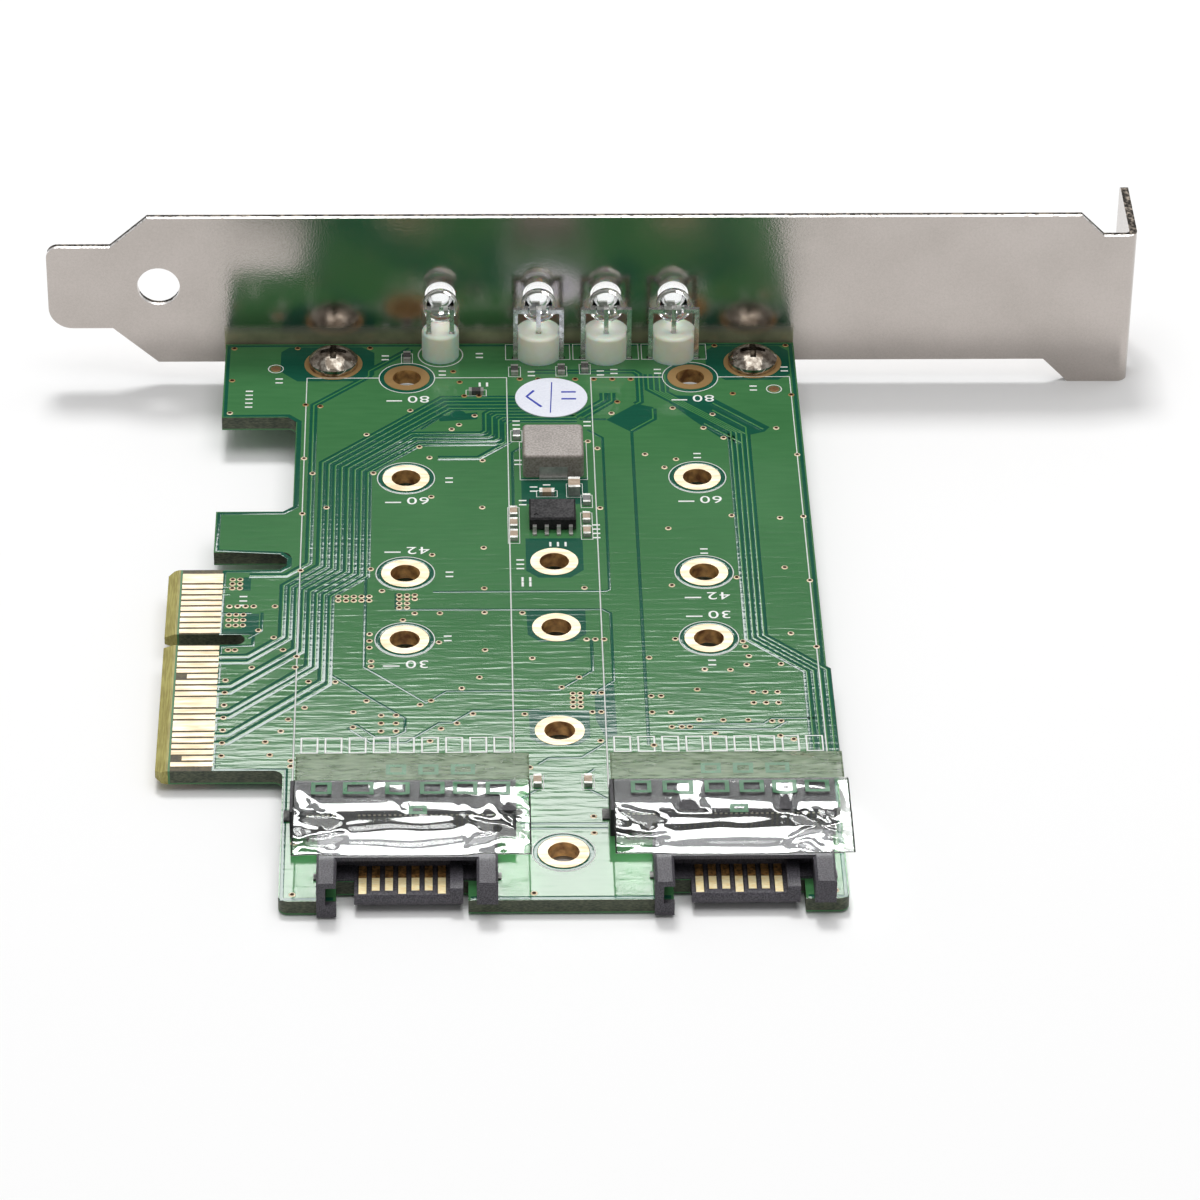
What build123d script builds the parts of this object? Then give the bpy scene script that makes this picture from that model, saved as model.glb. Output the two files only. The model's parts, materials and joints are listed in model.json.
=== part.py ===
"""Full-height expansion card that carries three gum-stick solid-state drives.

Two drive sockets stand on the front of the board and one on its back. The two
front sockets are wired to two seven-pin cable plugs on the lower edge of the
board, and the back socket to the gold fingers of the edge connector. A folded
steel bracket holds the card in the computer's case.

Millimetres, +Z up out of the board's front face. The origin is the centre of
the left column's first drive hole, on the board's front face. +Y runs towards
the bracket and -X towards the gold fingers.
"""

import os
from math import radians, sqrt, tan

from build123d import *

os.makedirs("parts", exist_ok=True)

# Board
board_thickness = 1.6
board_left = -11.95
board_right = 42.9
board_front = -43.45
board_back = 57.1
board_corner = 1.0
copper = 0.04

# Wings beside the edge connector
wing_tip = -20.05
outer_wing_front = 42.1
inner_wing_front = 16.05
inner_wing_back = 23.7
notch_fillet = 1.0

# Edge connector
finger_pitch = 1.0
finger_width = 0.7
finger_count = 32
fingers_before_key = 11
first_finger_y = 11.7
key_gap = 3.0
key_width = 1.9
key_depth = 8.25
finger_margin = 1.1
tongue_tip = -24.6
tip_bevel = 1.05
tip_bevel_angle = 20
tongue_corner = 0.6
finger_outer = -23.1
finger_length = 4.2
short_finger_cut = 1.1

# Drives and their holes
drive_lengths = (30, 42, 60, 80)
front_drive_edge = -30.0
back_drive_edge = 44.07
left_column = 0.0
right_column = 31.15
back_column = 15.56
drive_hole = 3.1
drive_pad = 5.0
plating = 0.2

# Drive sockets
socket_width = 22.0
socket_height = 3.2
socket_rear = 3.4
socket_upper_jaw = 1.6
socket_lower_jaw = 3.6
socket_slot_floor = 1.05
socket_slot = 1.0
socket_slot_width = 20.2
socket_key = 1.0
socket_key_offset = 5.625
socket_short_count = 6
socket_long_count = 28
socket_row_end = 9.25
socket_contact_pitch = 0.5
socket_contact_width = 0.25
socket_contact_thickness = 0.12
socket_tail = 0.6
socket_groove = 0.35
socket_groove_top = 2.75
socket_peg = 1.1
socket_peg_length = 1.2
socket_peg_spacing = 18.6
hold_down_width = 1.6
hold_down_foot = 0.7
hold_down_thickness = 0.2
hold_down_height = 1.4

# Cable plugs
plug_left_x = -0.05
plug_right_x = 32.35
plug_front = -44.1
plug_back = -36.0
plug_back_wall = 2.2
plug_roof_front = -40.0
plug_height = 2.62
plug_roof = 0.45
plug_edge = 0.25
plug_wall_left = 8.2
plug_wall_right = 9.2
plug_left_thickness = 1.9
plug_right_thickness = 2.05
plug_lip_depth = 1.45
plug_latch_width = 1.05
plug_latch_height = 2.0
plug_latch_depth = 3.6
blade_half_width = 4.6
blade_front = -43.0
blade_thickness = 1.17
blade_tip_edge = 0.22
blade_root = 1.0
blade_key_width = 1.25
blade_key_height = 0.75
plug_pitch = 1.27
plug_pins = 7
plug_contact_width = 0.75
plug_contact_thickness = 0.2
plug_channel = 1.0
plug_contact_front = 0.4
plug_short_contact = 0.5
plug_tail = 1.0
plug_cut_side = 6.35
plug_cut_depth = 3.0
plug_floor = 0.3
plug_floor_gap = 0.1
plug_lock_width = 0.9
plug_lock_foot = 0.35
plug_lock_y = -39.8

# Bracket
bracket_face = 57.45
bracket_thickness = 0.86
bracket_length = 120.02
bracket_width = 18.42
bracket_tongue_end = -39.5
tongue_length = 7.0
tongue_width = 10.3
tongue_low = 1.95
tongue_corner_low = 2.6
tongue_corner_high = 1.3
shoulder_top = 4.2
shoulder_bottom = 4.9
flare_drop = 3.2
flare_start = 9.6
flare_slope = 3.1
head_notch = 2.6
head_notch_start = 6.3
flange_depth = 11.43
bend_inner = 0.44
flange_corner = 1.0
screw_notch_width = 4.42
screw_notch_depth = 6.6
screw_notch_centre = 6.35
tongue_hole = 4.7
tongue_hole_x = -27.3
tongue_hole_z = 7.3
tab_width = 9.0
tab_reach = 8.6
tab_corner = 2.0
tab_bend_inner = 0.25
collar_diameter = 4.6
collar_depth = 0.8

# Screws through the board into the bracket's tabs
screw_left_x = -8.1
screw_right_x = 38.15
screw_y = 52.9
screw_shank = 2.9
screw_length = 5.0
screw_head = 5.4
screw_head_height = 1.9
screw_head_edge = 0.7
screw_recess_width = 0.75
screw_recess_span = 2.9
screw_recess_depth = 1.1
screw_recess_taper = 10
screw_point = 0.35
screw_clearance = 0.05
screw_hole = 3.3
screw_pad = 6.4

# Indicator lamps
lamp_y = 54.85
lamp_axis = 6.1
single_lamp_x = 3.7
first_double_lamp_x = 14.52
double_lamp_pitch = 7.45
lamp_diameter = 3.0
lamp_flange = 3.8
lamp_flange_thickness = 1.0
lamp_length = 5.3
lamp_back = 54.75
lamp_hole_clearance = 0.2
lead_width = 0.5
lead_pitch = 2.54
lead_clearance = 0.05
lead_drop_y = 54.1
single_spacer = 4.1
double_spacer = 5.0
spacer_height = 3.3
spacer_edge = 0.35
solder_stub = 0.9

# Power supply parts
coil_x, coil_y = 15.75, 33.3
coil_length, coil_width, coil_height = 6.5, 6.4, 2.7
coil_corner = 0.5
coil_top_round = 0.3
coil_terminal_width = 3.0
coil_terminal_reach = 1.3
coil_terminal_thickness = 0.2
regulator_x, regulator_y = 15.5, 21.9
regulator_length, regulator_width, regulator_height = 4.9, 3.9, 1.5
regulator_standoff = 0.15
regulator_lead_pitch = 1.27
regulator_lead_width = 0.42
regulator_lead_thickness = 0.2
regulator_span = 6.0
regulator_foot = 0.6
regulator_lead_height = 0.75
regulator_chamfer = 0.18
regulator_dot = 0.5
regulator_dot_inset = 0.7
regulator_dot_depth = 0.08
capacitor_x, capacitor_y = 17.9, 27.45
capacitor_width, capacitor_length, capacitor_height = 1.25, 2.0, 1.15
cap_terminal = 0.4

# Clear films, set off a little to the right of their drives
film_thickness = 0.08
film_clearance = 0.04
film_width = 23.1
film_offset = 0.85
film_start = 10.3
film_lift = 4.6
film_end_margin = 0.4

# Chip parts: centre and whether the long side lies along X
chip_length, chip_width, chip_height = 1.6, 0.8, 0.5
chip_terminal = 0.32
left_film_to_chip = 0.4
chip_to_right_film = 1.85
chip_by_left_film = (
    left_column + film_offset + film_width / 2 + left_film_to_chip + chip_width / 2
)
chip_by_right_film = (
    right_column + film_offset - film_width / 2 - chip_to_right_film - chip_width / 2
)
chip_resistors = (
    (0.0, 54.0, False),
    (7.6, 46.9, True),
    (11.85, 51.2, False),
    (17.0, 51.3, False),
    (19.6, 51.7, False),
    (11.9, 38.2, False),
    (19.2, 25.4, False),
)
chip_capacitors = (
    (chip_by_left_film, -24.6, False),
    (chip_by_right_film, -24.6, False),
    (11.4, 23.1, False),
    (11.4, 20.9, False),
    (11.4, 18.7, False),
    (19.1, 22.0, False),
    (19.1, 19.4, False),
    (15.0, 26.9, True),
)

# Round label
label_x, label_y = 15.8, 45.8
label_diameter = 7.9
label_thickness = 0.1


# Two points nearer than this count as one when edges are picked
touching = 1e-4
top_aligned = (Align.CENTER, Align.CENTER, Align.MAX)
bottom_aligned = (Align.CENTER, Align.CENTER, Align.MIN)


def locations_along(axis_x, places):
    """One location for each y in places, at the same x on the front face."""
    return [Location((axis_x, y, 0)) for y in places]


def finger_y(number):
    """Centre of a gold finger, counted from the bracket end."""
    past_key = key_gap - finger_pitch if number > fingers_before_key else 0
    return first_finger_y - (number - 1) * finger_pitch - past_key


front_holes = [front_drive_edge + length for length in drive_lengths]
back_holes = [back_drive_edge - length for length in drive_lengths]
tongue_back = first_finger_y + finger_margin
key_centre = finger_y(fingers_before_key) - key_gap / 2
tongue_front = finger_y(finger_count) - finger_margin
double_lamps = [first_double_lamp_x + n * double_lamp_pitch for n in range(3)]
screw_places = [(screw_left_x, screw_y), (screw_right_x, screw_y)]
plated_hole = drive_hole + 2 * plating
plated_screw_hole = screw_hole + 2 * plating
lead_hole = lead_width * sqrt(2) + 2 * lead_clearance
hold_down_x = socket_width / 2
peg_hole = socket_peg + 2 * lead_clearance
bracket_bottom = -board_thickness - bracket_thickness
bracket_top = bracket_bottom + bracket_width
bracket_end = bracket_tongue_end + bracket_length
lamp_hole = lamp_diameter + 2 * lamp_hole_clearance
plug_inner_wall = plug_back - plug_back_wall
blade_top = plug_contact_thickness
blade_bottom = blade_top - blade_thickness
all_sockets = (
    ("left", left_column, front_drive_edge, 1, -1),
    ("right", right_column, front_drive_edge, 1, -1),
    ("back", back_column, back_drive_edge, -1, 1),
)

# Board outline, cut-outs and holes
outline = [
    (board_left, board_front),
    (board_right, board_front),
    (board_right, board_back),
    (wing_tip, board_back),
    (wing_tip, outer_wing_front),
    (board_left, outer_wing_front),
    (board_left, inner_wing_back),
    (wing_tip, inner_wing_back),
    (wing_tip, inner_wing_front),
    (board_left, inner_wing_front),
    (board_left, tongue_back),
    (tongue_tip, tongue_back),
    (tongue_tip, tongue_front),
    (board_left, tongue_front),
]
rounded = {
    (board_left, board_front): board_corner,
    (board_right, board_front): board_corner,
    (board_left, outer_wing_front): notch_fillet,
    (board_left, inner_wing_back): notch_fillet,
    (board_left, inner_wing_front): notch_fillet,
    (board_left, tongue_back): notch_fillet,
    (board_left, tongue_front): notch_fillet,
}
bevelled = [(tongue_tip, tongue_back), (tongue_tip, tongue_front)]


def corners(sketch, places):
    """The sketch's vertices that stand at the given outline points."""
    return [
        v
        for v in sketch.vertices()
        if any(abs(v.X - x) + abs(v.Y - y) < touching for x, y in places)
    ]


tip_drop = tip_bevel * tan(radians(tip_bevel_angle))

with BuildPart() as circuit_board:
    with BuildSketch() as board_outline:
        with BuildLine():
            Polyline(*outline, close=True)
        make_face()
        for place, radius in rounded.items():
            fillet(corners(board_outline, [place]), radius)
        chamfer(corners(board_outline, bevelled), tongue_corner)
        # Key notch of the edge connector, with a round bottom
        key_reach = key_depth - key_width / 2
        with Locations((tongue_tip + key_reach / 2, key_centre)):
            Rectangle(key_reach, key_width, mode=Mode.SUBTRACT)
        with Locations((tongue_tip + key_reach, key_centre)):
            Circle(key_width / 2, mode=Mode.SUBTRACT)
        # Room for the two cable plugs
        for plug_x in (plug_left_x, plug_right_x):
            with Locations((plug_x, board_front)):
                Rectangle(
                    2 * plug_cut_side, 2 * plug_cut_depth, mode=Mode.SUBTRACT
                )
            root_left = plug_x - blade_half_width - film_clearance
            root_right = (
                plug_x + blade_half_width + blade_key_width + film_clearance
            )
            root_back = plug_inner_wall + blade_root + film_clearance
            with Locations(
                ((root_left + root_right) / 2, (root_back + board_front) / 2)
            ):
                Rectangle(
                    root_right - root_left,
                    root_back - board_front,
                    mode=Mode.SUBTRACT,
                )
        # Plated holes for the drives and the bracket screws
        for column, rows in (
            (left_column, front_holes),
            (right_column, front_holes),
            (back_column, back_holes),
        ):
            with Locations(*[(column, row) for row in rows]):
                Circle(plated_hole / 2, mode=Mode.SUBTRACT)
        with Locations(*screw_places):
            Circle(plated_screw_hole / 2, mode=Mode.SUBTRACT)
        # Lamp leads
        with Locations(
            (single_lamp_x - lead_pitch / 2, lead_drop_y),
            (single_lamp_x + lead_pitch / 2, lead_drop_y),
        ):
            Circle(lead_hole / 2, mode=Mode.SUBTRACT)
        for lamp_x in double_lamps:
            with Locations(
                *[(lamp_x + n * lead_pitch, lead_drop_y) for n in (-1, 0, 1)]
            ):
                Circle(lead_hole / 2, mode=Mode.SUBTRACT)
    extrude(amount=-board_thickness)
    # Locating pegs of the sockets go half-way into the board
    for _, column, edge, facing, _ in all_sockets:
        side = Plane.XY if facing > 0 else Plane.XY.offset(-board_thickness)
        rear_y = edge - facing * socket_rear / 2
        with BuildSketch(side):
            with Locations(
                (column - socket_peg_spacing / 2, rear_y),
                (column + socket_peg_spacing / 2, rear_y),
            ):
                Circle(peg_hole / 2)
        extrude(
            amount=-facing * (socket_peg_length + lead_clearance),
            mode=Mode.SUBTRACT,
        )
    # Bevels on both faces of the edge connector's tip
    with BuildSketch(Plane.XZ.offset(-tongue_back)):
        for face_z, slope in ((0, 1), (-board_thickness, -1)):
            with BuildLine():
                Polyline(
                    (tongue_tip, face_z),
                    (tongue_tip + tip_bevel, face_z),
                    (tongue_tip, face_z - slope * tip_drop),
                    close=True,
                )
            make_face()
    extrude(amount=tongue_back - tongue_front, mode=Mode.SUBTRACT)
circuit_board.part.label = "circuit_board"
export_step(circuit_board.part, "parts/circuit_board.step")

# Gold fingers: some neighbours are joined, some are short at the tip
joined_fingers = {1: 2, 21: 22, 25: 26}
short_top_fingers = (17, 31)
short_bottom_fingers = (1,)
for face, base, joined, short in (
    ("top", 0, joined_fingers, short_top_fingers),
    ("bottom", -board_thickness - copper, {}, short_bottom_fingers),
):
    with BuildPart() as fingers:
        with BuildSketch(Plane.XY.offset(base)):
            for number in range(1, finger_count + 1):
                if number in joined.values():
                    continue
                last = joined.get(number, number)
                tip = finger_outer + short_finger_cut * (number in short)
                inner = finger_outer + finger_length
                middle = (finger_y(number) + finger_y(last)) / 2
                across = finger_y(number) - finger_y(last) + finger_width
                with Locations(((tip + inner) / 2, middle)):
                    Rectangle(inner - tip, across)
        extrude(amount=copper)
    fingers.part.label = f"edge_contacts_{face}"
    export_step(fingers.part, f"parts/edge_contacts_{face}.step")


def plated_ring(hole, pad):
    """Copper tube through the board with a round pad on each face."""
    with BuildPart() as ring:
        Cylinder(hole / 2 + plating, board_thickness, align=top_aligned)
        for base in (0, -board_thickness - copper):
            with BuildSketch(Plane.XY.offset(base)):
                Circle(pad / 2)
            extrude(amount=copper)
        with BuildSketch(Plane.XY.offset(copper)):
            Circle(hole / 2)
        extrude(amount=-board_thickness - 2 * copper, mode=Mode.SUBTRACT)
    return ring.part


drive_ring = plated_ring(drive_hole, drive_pad)
for side, column, rows in (
    ("left", left_column, front_holes),
    ("right", right_column, front_holes),
    ("back", back_column, back_holes),
):
    with BuildPart() as rings:
        with Locations(*locations_along(column, rows)):
            add(drive_ring)
    rings.part.label = f"{side}_hole_plating"
    export_step(rings.part, f"parts/{side}_hole_plating.step")

with BuildPart() as screw_pads:
    with Locations(*screw_places):
        add(plated_ring(screw_hole, screw_pad))
screw_pads.part.label = "screw_hole_plating"
export_step(screw_pads.part, "parts/screw_hole_plating.step")

# Bracket: blade, flared head with a folded flange, and two tabs
tab_top = -board_thickness - copper
tab_low = tab_top - bracket_thickness
bend_outer = bend_inner + bracket_thickness
head_start = bracket_end - flare_start
flare_bottom = bracket_bottom - flare_drop
head_top = bracket_top - head_notch
tongue_high = tongue_low + tongue_width
tongue_root = bracket_tongue_end + tongue_length
blade_end = bracket_end - bend_outer
bracket_back = bracket_face + bracket_thickness

with BuildPart() as bracket:
    with BuildSketch(Plane.XZ.offset(-bracket_back)) as blade:
        with BuildLine():
            Polyline(
                (bracket_tongue_end, tongue_low),
                (tongue_root, tongue_low),
                (tongue_root + shoulder_bottom, bracket_bottom),
                (head_start, bracket_bottom),
                (head_start + flare_slope, flare_bottom),
                (blade_end, flare_bottom),
                (blade_end, head_top),
                (bracket_end - head_notch_start + head_notch, head_top),
                (bracket_end - head_notch_start, bracket_top),
                (tongue_root + shoulder_top, bracket_top),
                (tongue_root, tongue_high),
                (bracket_tongue_end, tongue_high),
                close=True,
            )
        make_face()
        for corner_z, radius in (
            (tongue_low, tongue_corner_low),
            (tongue_high, tongue_corner_high),
        ):
            corner = Vector(bracket_tongue_end, corner_z)
            fillet(blade.vertices().sort_by_distance(corner)[0], radius)
        with Locations((tongue_hole_x, tongue_hole_z)):
            Circle(tongue_hole / 2, mode=Mode.SUBTRACT)
        with Locations(
            *[(x, lamp_axis) for x in (single_lamp_x, *double_lamps)]
        ):
            Circle(lamp_hole / 2, mode=Mode.SUBTRACT)
    extrude(amount=bracket_thickness)
    # Flange folded back at the head
    with BuildSketch(Plane.XY.offset(flare_bottom)):
        with BuildLine():
            bend_y = bracket_face + bend_outer
            outer = bracket_end
            inner = bracket_end - bracket_thickness
            flange_end = bracket_face + flange_depth
            Line((blade_end, bracket_face), (blade_end, bracket_back))
            CenterArc((blade_end, bend_y), bend_inner, -90, 90)
            Line((inner, bend_y), (inner, flange_end))
            Line((inner, flange_end), (outer, flange_end))
            Line((outer, flange_end), (outer, bend_y))
            CenterArc((blade_end, bend_y), bend_outer, -90, 90)
        make_face()
    extrude(amount=head_top - flare_bottom)
    # Rounded flange corners, and the notch that the case screw goes through
    flange_edges = (
        bracket.edges()
        .filter_by(Axis.X)
        .filter_by(lambda e: e.center().Y > flange_end - touching)
    )
    fillet(flange_edges, flange_corner)
    notch_y = bracket_face + screw_notch_centre
    notch_round = screw_notch_width / 2
    with BuildSketch(Plane.YZ.offset(inner - notch_round)):
        with Locations((notch_y, flare_bottom + screw_notch_depth / 2)):
            Rectangle(screw_notch_width, screw_notch_depth)
        with Locations((notch_y, flare_bottom + screw_notch_depth)):
            Circle(notch_round)
    extrude(amount=bracket_thickness + 2 * notch_round, mode=Mode.SUBTRACT)
    # Tabs under the board, each with a threaded collar
    for screw_x, _ in screw_places:
        tab_outer = tab_bend_inner + bracket_thickness
        bend_z = tab_low + tab_outer
        with BuildSketch(Plane.YZ.offset(screw_x - tab_width / 2)):
            with BuildLine():
                tab_end = bracket_back - tab_reach
                bend_centre = bracket_face - tab_bend_inner
                Line((bracket_back, bracket_bottom + 2 * tab_outer),
                     (bracket_back, bend_z))
                CenterArc((bend_centre, bend_z), tab_outer, 0, -90)
                Line((bend_centre, tab_low), (tab_end, tab_low))
                Line((tab_end, tab_low), (tab_end, tab_top))
                Line((tab_end, tab_top), (bend_centre, tab_top))
                CenterArc((bend_centre, bend_z), tab_bend_inner, -90, 90)
                Line((bracket_face, bend_z),
                     (bracket_face, bracket_bottom + 2 * tab_outer))
                Line((bracket_face, bracket_bottom + 2 * tab_outer),
                     (bracket_back, bracket_bottom + 2 * tab_outer))
            make_face()
        extrude(amount=tab_width)
        tab_edges = (
            bracket.edges()
            .filter_by(Axis.Z)
            .filter_by(lambda e: abs(e.center().Y - tab_end) < touching)
            .filter_by(lambda e: abs(e.center().X - screw_x) < tab_width)
        )
        fillet(tab_edges, tab_corner)
        with Locations((screw_x, screw_y, tab_low)):
            Cylinder(collar_diameter / 2, collar_depth, align=top_aligned)
        with Locations((screw_x, screw_y, tab_top)):
            Cylinder(
                screw_shank / 2 + screw_clearance,
                bracket_thickness + collar_depth,
                align=top_aligned,
                mode=Mode.SUBTRACT,
            )
bracket.part.label = "bracket"
export_step(bracket.part, "parts/bracket.step")

# Pan-head screws with a cross recess
with BuildPart() as screw:
    with BuildSketch(Plane.XZ):
        with BuildLine():
            shank = screw_shank / 2
            rim = screw_head / 2
            tip = copper - screw_length
            dome_start = (rim, screw_head_edge)
            dome_top = (0, screw_head_height)
            Polyline(
                dome_top,
                (0, tip),
                (shank - screw_point, tip),
                (shank, tip + screw_point),
                (shank, copper),
                (rim, copper),
                dome_start,
            )
            TangentArc(dome_top, dome_start, tangent=(1, 0), tangent_from_first=True)
        make_face()
    revolve(axis=Axis.Z)
    for length, width in (
        (screw_recess_span, screw_recess_width),
        (screw_recess_width, screw_recess_span),
    ):
        with BuildSketch(Plane.XY.offset(screw_head_height)):
            Rectangle(length, width)
        extrude(
            amount=-screw_recess_depth,
            taper=screw_recess_taper,
            mode=Mode.SUBTRACT,
        )
for side, place in zip(("left", "right"), screw_places):
    with BuildPart() as placed:
        with Locations(place):
            add(screw.part)
    placed.part.label = f"bracket_screw_{side}"
    export_step(placed.part, f"parts/bracket_screw_{side}.step")


def socket_contact_rows(key_side):
    """Contact positions in the short and the long row, each side of the key."""
    steps = [n * socket_contact_pitch for n in range(socket_long_count)]
    short = [key_side * (socket_row_end - x) for x in steps[:socket_short_count]]
    long = [key_side * (x - socket_row_end) for x in steps]
    return short, long


def socket_pieces(key_side):
    """Housing, contacts and hold-downs, opening towards +Y, edge at y = 0."""
    rows = socket_contact_rows(key_side)
    key_x = key_side * socket_key_offset
    with BuildPart() as housing:
        with BuildSketch(Plane.YZ.offset(-socket_width / 2)):
            with BuildLine():
                slot_top = socket_slot_floor + socket_slot
                Polyline(
                    (-socket_rear, 0),
                    (socket_lower_jaw, 0),
                    (socket_lower_jaw, socket_slot_floor),
                    (socket_upper_jaw + socket_slot, socket_slot_floor),
                    (socket_upper_jaw, slot_top),
                    (socket_upper_jaw, socket_height),
                    (-socket_rear, socket_height),
                    close=True,
                )
            make_face()
        extrude(amount=socket_width)
        # Slot that takes the drive's edge
        with BuildSketch(Plane.XY.offset(socket_slot_floor)):
            with Locations((0, socket_lower_jaw / 2)):
                Rectangle(socket_slot_width, socket_lower_jaw)
            with Locations((key_x, socket_upper_jaw / 2)):
                Rectangle(socket_key, socket_upper_jaw, mode=Mode.SUBTRACT)
        extrude(amount=socket_slot, mode=Mode.SUBTRACT)
        # Groove behind each row of contacts
        for row in rows:
            low, high = min(row), max(row)
            with Locations(((low + high) / 2, -socket_rear, 0)):
                Box(
                    high - low + socket_contact_pitch,
                    2 * socket_groove,
                    socket_groove_top,
                    align=bottom_aligned,
                    mode=Mode.SUBTRACT,
                )
        # Pockets for the hold-downs in both ends
        for end in (-1, 1):
            with Locations((end * socket_width / 2, 0, 0)):
                Box(
                    2 * hold_down_thickness,
                    hold_down_width,
                    hold_down_height,
                    align=bottom_aligned,
                    mode=Mode.SUBTRACT,
                )
            with Locations(
                (end * socket_peg_spacing / 2, -socket_rear / 2, 0)
            ):
                Cylinder(
                    socket_peg / 2, socket_peg_length, align=top_aligned
                )
    # One contact: tail on the board, riser in the groove
    with BuildPart() as contact:
        inner_y = -socket_rear + socket_groove
        riser = inner_y - socket_contact_thickness
        foot_end = -socket_rear - socket_tail
        with BuildSketch(Plane.YZ.offset(-socket_contact_width / 2)):
            with BuildLine():
                Polyline(
                    (foot_end, 0),
                    (inner_y, 0),
                    (inner_y, socket_groove_top),
                    (riser, socket_groove_top),
                    (riser, socket_contact_thickness),
                    (foot_end, socket_contact_thickness),
                    close=True,
                )
            make_face()
        extrude(amount=socket_contact_width)
    with BuildPart() as contacts:
        with Locations(*[(x, 0, 0) for row in rows for x in row]):
            add(contact.part)
    with BuildPart() as hold_downs:
        for end in (-1, 1):
            foot_x = end * (hold_down_x + hold_down_foot / 2)
            with Locations((foot_x, 0, 0)):
                Box(
                    hold_down_foot,
                    hold_down_width,
                    hold_down_thickness,
                    align=bottom_aligned,
                )
            upright_x = end * (hold_down_x - hold_down_thickness / 2)
            with Locations((upright_x, 0, 0)):
                Box(
                    hold_down_thickness,
                    hold_down_width,
                    hold_down_height,
                    align=bottom_aligned,
                )
    return (
        ("housing", housing.part),
        ("contacts", contacts.part),
        ("hold_downs", hold_downs.part),
    )


for side, column, edge, facing, key_side in all_sockets:
    # The back socket is turned over, so that it hangs from the board
    if facing > 0:
        seat = Location((column, edge, 0))
    else:
        seat = Location((column, edge, -board_thickness), (180, 0, 0))
    for piece, shape in socket_pieces(key_side):
        with BuildPart() as placed:
            with Locations(seat):
                add(shape)
        placed.part.label = f"{side}_socket_{piece}"
        export_step(placed.part, f"parts/{side}_socket_{piece}.step")


def plug_contact_places():
    """Seven contacts; the first, middle and last reach further out."""
    middle = (plug_pins - 1) / 2
    for number in range(plug_pins):
        x = (number - middle) * plug_pitch
        shortened = number not in (0, middle, plug_pins - 1)
        yield x, blade_front + plug_contact_front + (
            plug_short_contact if shortened else 0
        )


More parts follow.
